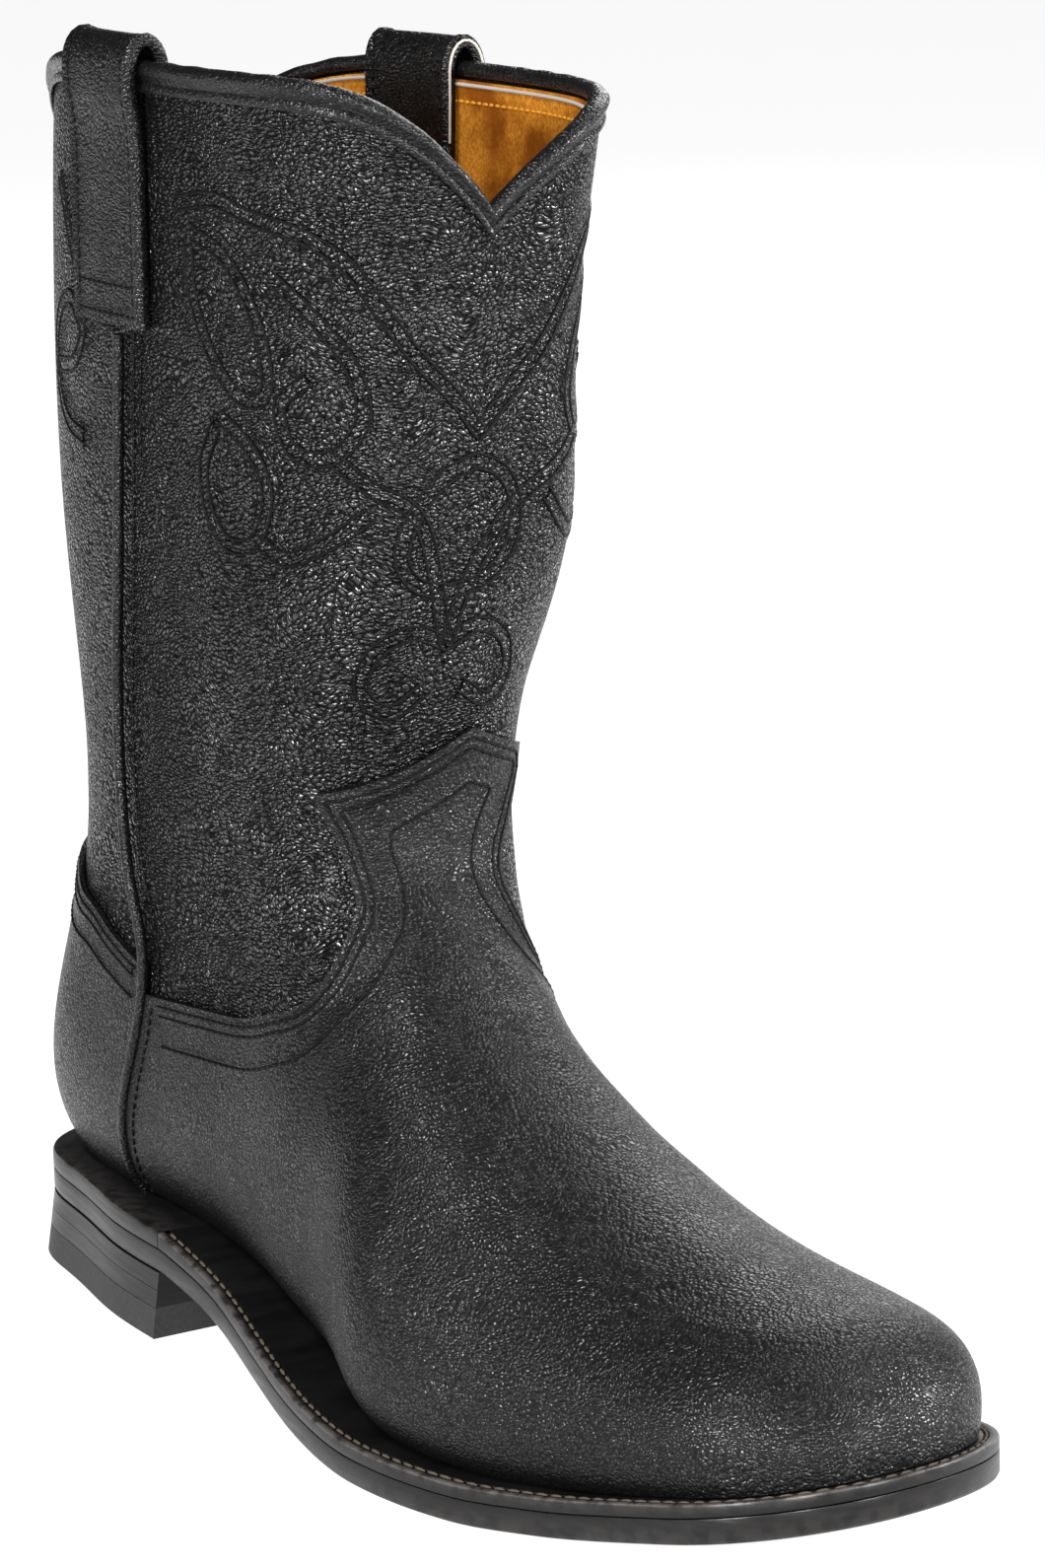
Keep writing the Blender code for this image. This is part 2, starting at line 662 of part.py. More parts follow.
def make_straps(tree, parts, material):
    """A pull strap over each side peak: a leg outside, a loop over the bead and a leg inside."""
    across = np.linspace(-0.5, 0.5, 5) * STRAP_WIDTH
    gap = CLEARANCE
    leg_out = gap + STRAP_THICKNESS / 2
    bead_out = -WALL / 2 + gap + BINDING_TAPE / 2 + BEAD_WIDTH / 2 + gap + STRAP_THICKNESS / 2
    leg_in = -(WALL + gap + STRAP_THICKNESS / 2)
    bead_in = -WALL / 2 + gap + BINDING_TAPE / 2 - BEAD_WIDTH / 2 - gap - STRAP_THICKNESS / 2
    leg_in = min(leg_in, bead_in)
    middle = (bead_out + leg_in) / 2
    radius = (bead_out - leg_in) / 2
    sides = [(-1, OUTER_PEAK, OUTER_STRAP_PLACE, "outer"), (1, INNER_PEAK, INNER_STRAP_PLACE, "inner")]
    for side, peak, strap_x, word in sides:
        rim = SEAT + peak
        line = [(leg_out, -STRAP_LENGTH), (leg_out, -STRAP_LENGTH / 2), (leg_out, -2 * BINDING_BAND)]
        line += [(bead_out, -BINDING_BAND), (bead_out, 0.0)]
        for turn in np.radians(np.linspace(0, 180, 9)):
            line.append((middle + radius * math.cos(turn), BEAD_HEIGHT / 2 + STRAP_RISE * math.sin(turn)))
        line += [(leg_in, 0.0), (leg_in, -STRAP_LENGTH / 2), (leg_in, -STRAP_LENGTH)]
        line = np.array(line)
        tangent = np.gradient(line, axis=0)
        tangent /= np.linalg.norm(tangent, axis=1)[:, None]
        away = np.column_stack([tangent[:, 1], -tangent[:, 0]]) * STRAP_THICKNESS / 2
        loops = []
        for half in (away, -away):
            for x in across:
                column = []
                for (out, up), (shift_out, shift_up) in zip(line, half):
                    level_z = rim + min(up, -BINDING_BAND / 3)
                    place, normal = on_side(tree, strap_x + x, level_z, side)
                    flat = Vector((normal.x, normal.y, 0)).normalized()
                    point = place + flat * (out + shift_out)
                    point.z = rim + up + shift_up
                    column.append(point)
                loops.append(column)
        front, back = loops[:5], loops[5:][::-1]
        rings = np.array(front + back).transpose(1, 0, 2)
        count, columns = rings.shape[:2]
        faces = ring_faces(count, columns)
        faces.append(tuple(reversed(range(columns))))
        faces.append(tuple((count - 1) * columns + j for j in range(columns)))
        add_mesh(f"pull_strap_{word}", rings.reshape(-1, 3), faces, parts, material).data.shade_smooth()


def make_sole(parts, leather, rubber):
    """Outsole, welt and rand follow the last's curve; the heel is built up of flat lifts."""
    whole = (0.0, SOLE_LENGTH)
    behind = (0.0, HEEL_LENGTH)
    plate("outsole", whole, 0.0, underside, lambda x: underside(x) + OUTSOLE_THICKNESS, parts, leather)
    seam = CLEARANCE / 2

    def welt_floor(x):
        return underside(x) + OUTSOLE_THICKNESS + CLEARANCE

    plate("welt", (HEEL_LENGTH + seam, SOLE_LENGTH), 0.0, welt_floor, sole_top, parts, leather)
    plate("heel_rand", (0.0, HEEL_LENGTH - seam), 0.0, welt_floor, sole_top, parts, leather, count=16)
    lift = (HEEL_HEIGHT - TOP_LIFT) / 2
    layers = [("top_lift", 0.0, TOP_LIFT, rubber)]
    layers += [("heel_lift_1", TOP_LIFT, TOP_LIFT + lift, leather)]
    layers += [("heel_lift_2", TOP_LIFT + lift, HEEL_HEIGHT, leather)]
    for name, low, high, material in layers:
        flare = [HEEL_FLARE * (1 - z / HEEL_HEIGHT) for z in (low, high)]
        plate(name, behind, 0.0, level(low), level(high), parts, material, sides=flare, count=16)


def make_insole(grid, parts, cutters, material):
    """A board on the welt that fills the foot's plan inside the wall."""

    def floor(x):
        return sole_top(x) + CLEARANCE

    def top(x):
        return floor(x) + INSOLE_THICKNESS

    inset = WELT_MARGIN + WALL - BULGE
    insole = plate("insole", (0.0, SOLE_LENGTH), inset, floor, top, parts, material)
    inside = hide(solid_form("form_inside", offset_form(grid, -WALL - INSOLE_FIT), cutters))
    cut(insole, inside, "INTERSECT")


def main():
    for old in list(bpy.data.objects):
        bpy.data.objects.remove(old)
    parts = new_collection("roper_boot")
    cutters = new_collection("cutters")
    frame = bpy.data.objects.new("boot_frame", None)
    frame.location.x = -HEEL_LENGTH / 2
    parts.objects.link(frame)
    black_leather = principled("black_leather", (0.012, 0.012, 0.013), 0.42)
    sole_leather = principled("edge_dressed_sole_leather", (0.014, 0.013, 0.013), 0.36)
    lift_rubber = principled("heel_rubber", (0.018, 0.018, 0.018), 0.7)
    suede_lining = principled("tan_lining_leather", (0.46, 0.18, 0.03), 0.85)
    grid = form_grid()
    sole_block(cutters)
    make_upper(grid, parts, cutters, black_leather)
    make_insole(grid, parts, cutters, suede_lining)
    make_sole(parts, sole_leather, lift_rubber)
    make_overlays(grid, parts, cutters, black_leather)
    tree = form_tree(grid)
    make_piping(tree, parts, black_leather)
    make_binding(grid, parts, black_leather)
    make_straps(tree, parts, black_leather)
    for made in list(parts.objects) + list(cutters.objects):
        if made is not frame:
            made.parent = frame


main()
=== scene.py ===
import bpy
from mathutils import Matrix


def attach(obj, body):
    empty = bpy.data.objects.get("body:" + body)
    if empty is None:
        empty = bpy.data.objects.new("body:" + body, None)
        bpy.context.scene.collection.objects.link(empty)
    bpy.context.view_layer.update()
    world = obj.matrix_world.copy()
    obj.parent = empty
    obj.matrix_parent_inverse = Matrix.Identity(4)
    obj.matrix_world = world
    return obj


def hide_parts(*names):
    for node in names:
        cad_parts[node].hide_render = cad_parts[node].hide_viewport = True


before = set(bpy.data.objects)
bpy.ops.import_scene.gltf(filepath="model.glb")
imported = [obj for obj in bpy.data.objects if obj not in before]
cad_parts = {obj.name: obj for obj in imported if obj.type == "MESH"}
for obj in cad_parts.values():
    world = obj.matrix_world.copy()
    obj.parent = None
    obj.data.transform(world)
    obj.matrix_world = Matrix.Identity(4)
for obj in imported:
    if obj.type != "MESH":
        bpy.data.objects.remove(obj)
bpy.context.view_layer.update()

import math

import bmesh
import bpy
import numpy as np
from mathutils import Matrix, Vector
from mathutils.bvhtree import BVHTree

mm = 0.001

# The last and the sole, as the solids have them
last = {
    "soleLength": 0.305, "ballWidth": 0.104, "heelLength": 0.087, "heelHeight": 15 * mm, "topLift": 7 * mm,
    "heelFlare": 2.2 * mm, "outsole": 5.5 * mm, "weltThickness": 3 * mm, "rand": 4.5 * mm,
    "weltMargin": 5.5 * mm, "toeSpring": 13.5 * mm, "toeSwing": 7.3 * mm, "soleShift": -1.7 * mm,
    "instep": 0.100, "shaftHeight": 0.256, "shaftDepth": 0.163, "shaftWidth": 0.0868, "wall": 2.4 * mm,
    "clearance": 0.3 * mm, "dip": 6 * mm, "bulge": 1.5 * mm, "toeRound": 26 * mm, "toeGap": 0.8 * mm,
    "toeLift": 0.30, "bulgeRun": 1.2, "randEnd": 0.20, "randRun": 0.18, "swingStart": 0.4, "swingRun": 0.5,
}
seat = last["heelHeight"] + last["outsole"] + last["rand"]
tip = last["soleLength"] - last["weltMargin"] - last["toeGap"]
collar = {
    "outerPeak": 0.9844 * last["shaftHeight"], "innerPeak": 0.9570 * last["shaftHeight"],
    "frontDip": 0.8730 * last["shaftHeight"], "backDip": 0.8867 * last["shaftHeight"], "backHollow": 3.0,
}

# Sole outline: share of the length, then how far it reaches to the outer and inner side, as shares of the
# ball's width under a swell that closes both ends
outline = [
    (0.0, 0.760, 0.680), (0.1, 0.450, 0.440), (0.2, 0.445, 0.380), (0.3, 0.395, 0.320), (0.4, 0.384, 0.270),
    (0.5, 0.451, 0.285), (0.6, 0.528, 0.360), (0.7, 0.575, 0.450), (0.8, 0.546, 0.530), (0.9, 0.552, 0.700),
    (1.0, 0.725, 0.860),
]
# Underside: share of the way from breast to toe, shares of heel height and of toe spring
undersideTable = [
    (0.005, 1.00, 0.00), (0.100, 0.80, 0.00), (0.236, 0.38, 0.00), (0.375, 0.10, 0.00), (0.486, 0.00, 0.00),
    (0.625, 0.00, 0.00), (0.722, 0.00, 0.12), (0.861, 0.00, 0.50), (1.000, 0.00, 1.00),
]
# Foot: top and underside as shares of the sole's length, height as a share of the instep, height of the
# widest place, and how square the upper and lower halves are
footSections = [
    (0.980, 0.980, 0.235, 0.42, 2.3, 3.0), (0.943, 0.943, 0.262, 0.42, 2.2, 3.0),
    (0.893, 0.893, 0.300, 0.42, 2.1, 3.0), (0.817, 0.817, 0.378, 0.40, 2.0, 3.0),
    (0.733, 0.733, 0.468, 0.38, 1.9, 3.0), (0.640, 0.645, 0.620, 0.36, 1.9, 3.0),
    (0.553, 0.560, 0.815, 0.34, 2.0, 2.8),
]
# Leg: front and its height, back and its height, as shares of the shaft's depth and height, then outer, inner
# and middle as shares of its width, height of the widest place, and how square front and back are
legSections = [
    (0.910, 0.330, 0.859, -0.066, 0.405, 0.360, -0.030, 0.33, 2.2, 2.6),
    (0.896, 0.396, 0.650, -0.040, 0.398, 0.375, 0.000, 0.33, 2.2, 2.4),
    (0.908, 0.447, 0.418, -0.040, 0.398, 0.395, 0.006, 0.32, 2.4, 2.3),
    (0.926, 0.516, 0.130, -0.055, 0.415, 0.430, 0.012, 0.32, 2.7, 2.2),
    (0.937, 0.566, -0.035, 0.000, 0.425, 0.480, 0.016, 0.32, 2.9, 2.2),
    (0.942, 0.613, 0.045, 0.137, 0.430, 0.508, 0.046, 0.36, 3.1, 2.1),
    (0.941, 0.664, 0.058, 0.258, 0.444, 0.503, 0.094, 0.42, 3.1, 2.1),
    (0.936, 0.719, -0.008, 0.391, 0.476, 0.482, 0.130, 0.46, 3.0, 2.0),
    (0.934, 0.785, -0.063, 0.547, 0.493, 0.475, 0.146, 0.50, 3.0, 2.05),
    (0.940, 0.855, -0.073, 0.723, 0.501, 0.480, 0.161, 0.50, 3.1, 2.05),
    (0.955, 0.926, -0.052, 0.926, 0.505, 0.484, 0.172, 0.50, 3.4, 2.05),
    (0.972, 1.016, -0.037, 1.016, 0.510, 0.484, 0.187, 0.50, 3.5, 2.05),
]
# Seams in side view: share of the sole's length, share of the shaft's height above the seat
sideSeam = [
    (0.190, 0.012), (0.200, 0.055), (0.222, 0.110), (0.240, 0.150), (0.258, 0.199), (0.264, 0.245),
    (0.248, 0.293), (0.219, 0.372), (0.208, 0.456), (0.224, 0.580), (0.2365, 0.780),
]
vampEdge = [
    (0.281, 0.203), (0.331, 0.207), (0.395, 0.214), (0.436, 0.228), (0.468, 0.243), (0.487, 0.274),
    (0.486, 0.316), (0.471, 0.362), (0.454, 0.408),
]
tongue = {"peak": (0.100, 0.459), "fall": 0.355, "hollow": 1.2 * mm}  # shares of the shaft's width and height
counterEdge = [
    (0.247, 0.230), (0.213, 0.245), (0.181, 0.261), (0.150, 0.268), (0.060, 0.290), (-0.100, 0.305),
]

toeRows = 2
lastRow = len(footSections) + len(legSections) - 1
shaftRow = 12.0
gridSize = {
    "toe": 18, "foot": 90, "shaft": 70,
    "columns": 168, "firstStation": 0.045,
}


def smoothStep(value):
    value = np.clip(value, 0.0, 1.0)
    return value * value * (3 - 2 * value)


def bSpline(rows, t):  # uniform cubic B-spline through row numbers t
    rows = np.asarray(rows, float)
    full = np.vstack([2 * rows[0] - rows[1], rows, 2 * rows[-1] - rows[-2]])
    t = np.clip(t, 0, len(rows) - 1)
    first = np.minimum(t.astype(int), len(rows) - 2)
    u = (t - first)[..., None]
    weights = [(1 - u) ** 3, 3 * u**3 - 6 * u**2 + 4, -3 * u**3 + 3 * u**2 + 3 * u + 1, u**3]
    return sum(weights[k] / 6 * full[first + k] for k in range(4))


def steadyCurve(knots, values, x):  # smooth, and never overshoots its knots
    knots = np.asarray(knots, float)
    values = np.asarray(values, float)
    step = np.diff(knots)
    rise = np.diff(values) / step
    product = rise[:-1] * rise[1:]
    total = np.where(product > 0, rise[:-1] + rise[1:], 1.0)
    slope = np.concatenate([[rise[0]], np.where(product > 0, 2 * product / total, 0.0), [rise[-1]]])
    x = np.clip(x, knots[0], knots[-1])
    i = np.clip(np.searchsorted(knots, x, side="right") - 1, 0, len(step) - 1)
    t = (x - knots[i]) / step[i]
    rest = 1 - t
    flat = values[i] * (1 + 2 * t) * rest**2 + values[i + 1] * t**2 * (3 - 2 * t)
    return flat + step[i] * (slope[i] * t * rest**2 - slope[i + 1] * t**2 * rest)
def lengthAlong(points):  # the length run at each point of a line
    return np.concatenate([[0], np.cumsum(np.linalg.norm(np.diff(points, axis=0), axis=1))])

def underside(x):
    table = np.array(undersideTable)
    height = table[:, 1] * last["heelHeight"] + table[:, 2] * last["toeSpring"]
    knots = last["heelLength"] + table[:, 0] * (last["soleLength"] - last["heelLength"])
    return steadyCurve(knots, height, x)


def soleTop(x):
    share = 1 - smoothStep((x / last["soleLength"] - last["randEnd"]) / last["randRun"])
    thickness = last["weltThickness"] + (last["rand"] - last["weltThickness"]) * share
    return underside(x) + last["outsole"] + thickness


def outlineLoop(inset, count=161):  # heel to toe along the outer side, and toe to heel along the inner side
    turn = np.linspace(0, math.pi, count)
    along = (1 + np.cos(turn)) / 2
    table = bSpline(outline, along * (len(outline) - 1))
    swell = 2 * np.sqrt(along * (1 - along)) * last["ballWidth"]
    swing = last["soleShift"] + last["toeSwing"] * smoothStep((along - last["swingStart"]) / last["swingRun"])
    outer = np.column_stack([along * last["soleLength"], swing - table[:, 1] * swell])
    inner = np.column_stack([along * last["soleLength"], swing + table[:, 2] * swell])[::-1]
    loop = np.vstack([outer, inner[1:-1]])
    tangent = np.roll(loop, -1, axis=0) - np.roll(loop, 1, axis=0)
    outward = np.column_stack([-tangent[:, 1], tangent[:, 0]])
    outward /= np.linalg.norm(outward, axis=1)[:, None]
    if outward[0, 0] < 0:
        outward = -outward
    moved = loop - outward * inset
    return moved[:count][::-1], np.vstack([moved[count - 1:], moved[:1]])


def sectionRows():
    rows = []
    widths = [share * last["shaftWidth"] for share in legSections[0][4:7]]
    for top, bottom, height, belly, upperSquare, lowerSquare in footSections:
        base = float(soleTop(bottom * last["soleLength"]))
        topZ = float(soleTop(top * last["soleLength"])) + height * last["instep"]
        sides = [top * last["soleLength"], topZ, bottom * last["soleLength"], base - last["dip"]]
        rows.append(sides + widths + [belly, upperSquare, lowerSquare])
    for front, frontZ, back, backZ, outer, inner, centre, belly, frontSquare, backSquare in legSections:
        sides = [front * last["shaftDepth"], seat + frontZ * last["shaftHeight"]]
        sides += [back * last["shaftDepth"], seat + backZ * last["shaftHeight"]]
        across = [share * last["shaftWidth"] for share in (outer, inner, centre)]
        rows.append(sides + across + [belly, frontSquare, backSquare])
    return np.array(rows)


allRows = sectionRows()
toeStart = bSpline(allRows, np.array([float(toeRows)]))[0, 2]
footEdges = outlineLoop(last["weltMargin"])


def formPoints(t, theta):  # theta 0 is the foot's top and the leg's front, a quarter turn the outer side
    values = bSpline(allRows, t)
    topX, topZ, bottomX, bottomZ = [values[..., k] for k in range(4)]
    outer, inner, centre, belly, frontSquare, backSquare = [values[..., k] for k in range(4, 10)]
    toeTurn = np.clip(t / toeRows, 0, 1) * math.pi / 2
    toeX = tip - (tip - toeStart) * (1 - np.cos(toeTurn))
    topX = np.where(t < toeRows, toeX, topX)
    bottomX = np.where(t < toeRows, toeX, bottomX)
    edgeOuter, edgeInner = footEdges
    footOuter = np.interp(bottomX, edgeOuter[:, 0], edgeOuter[:, 1])
    footInner = np.interp(bottomX, edgeInner[:, 0], edgeInner[:, 1])
    bulge = last["bulge"] * np.clip((tip - bottomX) / (last["bulgeRun"] * last["toeRound"]), 0, 1)
    footOuter = footOuter - bulge
    footInner = footInner + bulge
    middle = (footOuter + footInner) / 2
    share = 1 - smoothStep((t - (len(footSections) - 2)) / 2)
    outer = outer + share * (middle - footOuter - outer)
    inner = inner + share * (footInner - middle - inner)
    centre = centre + share * (middle - centre)
    cosine = np.cos(theta)
    sine = np.sin(theta)
    square = np.where(cosine >= 0, frontSquare, backSquare)
    reach = np.abs(cosine) ** (2 / square)
    height = np.where(cosine >= 0, belly + (1 - belly) * reach, belly - belly * reach)
    width = np.abs(sine) ** (2 / square)
    y = centre + np.where(sine >= 0, -outer * width, inner * width)
    closing = 1 - np.clip((tip - bottomX) / last["toeRound"], 0, 1)
    lift = last["toeLift"] + (1 - last["toeLift"]) * np.sqrt(1 - closing**2)
    z = bottomZ + (topZ - bottomZ) * height * lift
    return np.stack([bottomX + (topX - bottomX) * height, y, z], axis=-1)


def collarHeight(theta):
    frontSquare, backSquare = legSections[-1][8:10]
    front = np.cos(theta) >= 0
    width = np.abs(np.sin(theta)) ** (2 / np.where(front, frontSquare, backSquare))
    low = np.where(front, collar["frontDip"], collar["backDip"])
    high = np.where(np.sin(theta) >= 0, collar["outerPeak"], collar["innerPeak"])
    hollow = np.where(front, 1.0, collar["backHollow"])
    return seat + low + (high - low) * np.sin(width * math.pi / 2) ** hollow


def stationsAt(theta, height):  # the station where each column of the shaft reaches that height
    low = np.full(np.shape(theta), 7.0)
    high = np.full(np.shape(theta), float(lastRow))
    for _ in range(30):
        middle = (low + high) / 2
        above = formPoints(middle, theta)[..., 2] > height
        high = np.where(above, middle, high)
        low = np.where(above, low, middle)
    return (low + high) / 2


def evenAngles(columns):  # angles that space the columns evenly round the leg
    dense = np.linspace(0, 2 * math.pi, 4001)
    ring = formPoints(np.full(dense.shape, 15.5), dense)
    length = lengthAlong(ring)
    return np.interp(np.linspace(0, length[-1], columns, endpoint=False), length, dense)


def gridNormals(grid):
    around = np.roll(grid, -1, axis=1) - np.roll(grid, 1, axis=1)
    normal = np.cross(np.gradient(grid, axis=0), around)
    return normal / np.linalg.norm(normal, axis=2)[..., None]


# Soft creases: points along each in mm from the back of the heel, width and depth in mm
creases = [
    ([(150, -14, 108), (141, -30, 100), (128, -38, 93)], 5.0, 0.9),
    ([(157, -8, 98), (150, -26, 90), (140, -36, 82)], 6.0, 0.9),
    ([(147, 22, 112), (140, 33, 103), (128, 40, 95)], 5.0, 0.8),
    ([(158, 10, 98), (152, 26, 90), (140, 36, 82)], 6.0, 0.8),
    ([(140, -28, 122), (126, -38, 116), (108, -41, 113)], 7.0, 0.7),
    ([(30, -38, 108), (18, -28, 104), (12, -8, 103)], 7.0, 0.7),
    ([(30, 40, 108), (18, 32, 104), (12, 12, 103)], 7.0, 0.7),
    ([(196, -20, 66), (190, -36, 56), (182, -48, 42)], 7.0, 0.35),
    ([(208, -14, 60), (203, -34, 52), (197, -50, 38)], 7.0, 0.35),
    ([(196, 20, 66), (190, 32, 56), (184, 42, 42)], 7.0, 0.35),
]


def creaseShift(points):
    flat = points.reshape(-1, 3) / mm
    shift = np.zeros(len(flat))
    for path, width, depth in creases:
        path = np.array(path, float)
        knots = np.linspace(0, len(path) - 1, 13)
        line = np.column_stack([np.interp(knots, range(len(path)), path[:, k]) for k in range(3)])
        distance = np.full(len(flat), 1e9)
        place = np.zeros(len(flat))
        for k, (a, b) in enumerate(zip(line[:-1], line[1:])):
            span = b - a
            share = np.clip((flat - a) @ span / (span @ span), 0, 1)
            away = np.linalg.norm(flat - a - share[:, None] * span, axis=1)
            nearer = away < distance
            distance = np.where(nearer, away, distance)
            place = np.where(nearer, (k + share) / 12, place)
        fade = np.sin(np.pi * np.clip(place, 0.08, 0.92)) ** 0.7
        d = distance / width
        shift += fade * depth * (-np.exp(-d**2) + 0.5 * np.exp(-((d - 1.7) ** 2)))
    return shift.reshape(points.shape[:2]) * mm


def makeGrid():
    theta = evenAngles(gridSize["columns"])
    toe = toeRows * np.linspace(gridSize["firstStation"], 1, gridSize["toe"], endpoint=False)
    foot = np.linspace(toeRows, shaftRow, gridSize["foot"], endpoint=False)
    lower = np.concatenate([toe, foot])
    share = np.linspace(0, 1, gridSize["shaft"])[:, None]
    rim = stationsAt(theta, collarHeight(theta))
    stations = np.vstack([np.repeat(lower[:, None], len(theta), axis=1), shaftRow + (rim - shaftRow) * share])
    grid = formPoints(stations, np.broadcast_to(theta, stations.shape))
    return grid + gridNormals(grid) * creaseShift(grid)[..., None]


def linearOf(hexCode):  # sRGB hex to the linear values that the shaders take
    values = [int(hexCode[k:k + 2], 16) / 255 for k in (1, 3, 5)]
    return (*[v / 12.92 if v <= 0.04045 else ((v + 0.055) / 1.055) ** 2.4 for v in values], 1.0)


def setInputs(tree, node, inputs):
    for key, value in inputs.items():
        if isinstance(value, bpy.types.NodeSocket):
            tree.links.new(value, node.inputs[key])
        else:
            node.inputs[key].default_value = value


def addNode(tree, kind, inputs=None, **settings):
    node = tree.nodes.new(kind)
    for key, value in settings.items():
        setattr(node, key, value)
    setInputs(tree, node, inputs or {})
    return node


def newMaterial(name, base, roughness, **sockets):  # the last value is the place on the piece
    material = bpy.data.materials.new(name)
    material.use_nodes = True
    tree = material.node_tree
    shader = tree.nodes["Principled BSDF"]
    shader.inputs["Base Color"].default_value = linearOf(base)
    shader.inputs["Roughness"].default_value = roughness
    for key, value in sockets.items():
        shader.inputs[key.replace("_", " ")].default_value = value
    material.diffuse_color = linearOf(base)
    return material, tree, shader, addNode(tree, "ShaderNodeTexCoord").outputs["Object"]


def warped(tree, place, size, amount):  # places pushed about by a soft noise, both in mm
    noise = addNode(tree, "ShaderNodeTexNoise", {"Vector": place, "Scale": 1000 / size, "Detail": 2.0})
    centred = {0: noise.outputs["Color"], 1: (0.5, 0.5, 0.5)}
    middle = addNode(tree, "ShaderNodeVectorMath", centred, operation="SUBTRACT").outputs[0]
    scaled = {0: middle, "Scale": 2 * amount * mm}
    push = addNode(tree, "ShaderNodeVectorMath", scaled, operation="SCALE").outputs[0]
    return addNode(tree, "ShaderNodeVectorMath", {0: place, 1: push}, operation="ADD").outputs[0]


# Domed pebbles, drawn out sideways, with the dressing only on their tops. The creases between them get a
# darker colour, which is painted shade, and each top catches the boxes of light as one short bright speck.
# Sizes are in mm. The colour sockets of a
# Mix node share their names with others, so they are given by number
def grainLeather(name, look):
    sockets = {"IOR": look["hideIor"], "Coat_IOR": look["dressingIor"], "Coat_Roughness": look["gloss"]}
    material, tree, shader, place = newMaterial(name, look["base"], look["dullness"], **sockets)
    pebble = look["pebble"]
    swirled = warped(tree, place, look["swirl"] * 3.5, look["swirl"])
    pushed = warped(tree, swirled, pebble * 2, pebble / 2)
    drawing = {"Vector": pushed, "Scale": (1.0, 1.0, look["drawnOut"])}
    drawn = addNode(tree, "ShaderNodeMapping", drawing).outputs[0]
    cells = {"Vector": drawn, "Scale": 1000 / pebble}
    cell = addNode(tree, "ShaderNodeTexVoronoi", cells).outputs["Distance"]
    border = addNode(tree, "ShaderNodeTexVoronoi", cells, feature="DISTANCE_TO_EDGE").outputs["Distance"]
    squared = addNode(tree, "ShaderNodeMath", {0: cell, 1: cell}, operation="MULTIPLY").outputs[0]
    doming = {"Value": squared, "From Max": 0.5, "To Min": 1.0, "To Max": 0.0}
    dome = addNode(tree, "ShaderNodeMapRange", doming).outputs[0]
    rising = {"Value": border, "From Max": look["crease"]}
    top = addNode(tree, "ShaderNodeMapRange", rising, interpolation_type="SMOOTHSTEP").outputs[0]
    poring = {"Vector": drawn, "Scale": 1000 / look["fine"], "Detail": 3.0}
    pores = addNode(tree, "ShaderNodeTexNoise", poring).outputs[0]
    grit = {"Height": pores, "Distance": look["fineDepth"] * mm, "Strength": 1.0}
    fine = addNode(tree, "ShaderNodeBump", grit).outputs[0]
    relief = {"Height": dome, "Distance": look["depth"] * mm, "Strength": 1.0, "Normal": fine}
    coarse = addNode(tree, "ShaderNodeBump", relief).outputs[0]
    patching = {"Vector": place, "Scale": 1000 / look["patch"], "Detail": 3.0}
    patch = addNode(tree, "ShaderNodeTexNoise", patching).outputs[0]
    rubbing = {"Value": patch, "From Min": 0.3, "From Max": 0.7, "To Min": look["leastTop"]}
    rubbed = addNode(tree, "ShaderNodeMapRange", rubbing, interpolation_type="SMOOTHSTEP").outputs[0]
    held = addNode(tree, "ShaderNodeMapRange", {"Value": top, "To Min": look["inCrease"]}).outputs[0]
    dressing = addNode(tree, "ShaderNodeMath", {0: held, 1: rubbed}, operation="MULTIPLY").outputs[0]
    wear = addNode(tree, "ShaderNodeMapRange", {"Value": patch, "From Min": 0.4, "From Max": 0.8}).outputs[0]
    tops = {0: wear, 6: linearOf(look["base"]), 7: linearOf(look["worn"])}
    worn = addNode(tree, "ShaderNodeMix", tops, data_type="RGBA").outputs[2]
    # The creases take a darker colour here: painted shade in the hollows between the pebbles
    both = {0: top, 6: linearOf(look["paintedCreaseShade"]), 7: worn}
    colour = addNode(tree, "ShaderNodeMix", both, data_type="RGBA").outputs[2]
    setInputs(tree, shader, {"Normal": coarse, "Coat Normal": coarse})
    setInputs(tree, shader, {"Coat Weight": dressing, "Base Color": colour})
    return material


# Milled cowhide: coarse pebbles whose creases are darkened by painted shade, and whose tops catch the light
# as small bright specks
shaftLeather = grainLeather("milledCowhide", {
    "base": "#0b0b0c", "paintedCreaseShade": "#020202", "worn": "#101011", "dullness": 0.6, "hideIor": 1.12,
    "dressingIor": 1.66, "gloss": 0.15, "pebble": 1.5, "drawnOut": 1.8, "swirl": 5.0, "crease": 0.28,
    "inCrease": 0.0, "depth": 0.42, "fine": 0.5, "fineDepth": 0.05, "patch": 32.0, "leastTop": 0.75,
})
# Waxed calf over the last: fine grain, a soft broad sheen
footLeather = grainLeather("waxedCalf", {
    "base": "#0c0c0d", "paintedCreaseShade": "#040404", "worn": "#121213", "dullness": 0.5, "hideIor": 1.2,
    "dressingIor": 1.4, "gloss": 0.19, "pebble": 0.95, "drawnOut": 1.35, "swirl": 3.0, "crease": 0.3,
    "inCrease": 0.03, "depth": 0.15, "fine": 0.4, "fineDepth": 0.015, "patch": 26.0, "leastTop": 0.7,
})
# Pull strap side leather: the same hide rolled flat, so that its grain is finer and shallow
strapLeather = grainLeather("rolledSideLeather", {
    "base": "#0a0a0b", "paintedCreaseShade": "#030303", "worn": "#0f0f10", "dullness": 0.5, "hideIor": 1.15,
    "dressingIor": 1.42, "gloss": 0.22, "pebble": 1.3, "drawnOut": 1.9, "swirl": 4.0, "crease": 0.24,
    "inCrease": 0.15, "depth": 0.22, "fine": 0.4, "fineDepth": 0.02, "patch": 16.0, "leastTop": 0.7,
})
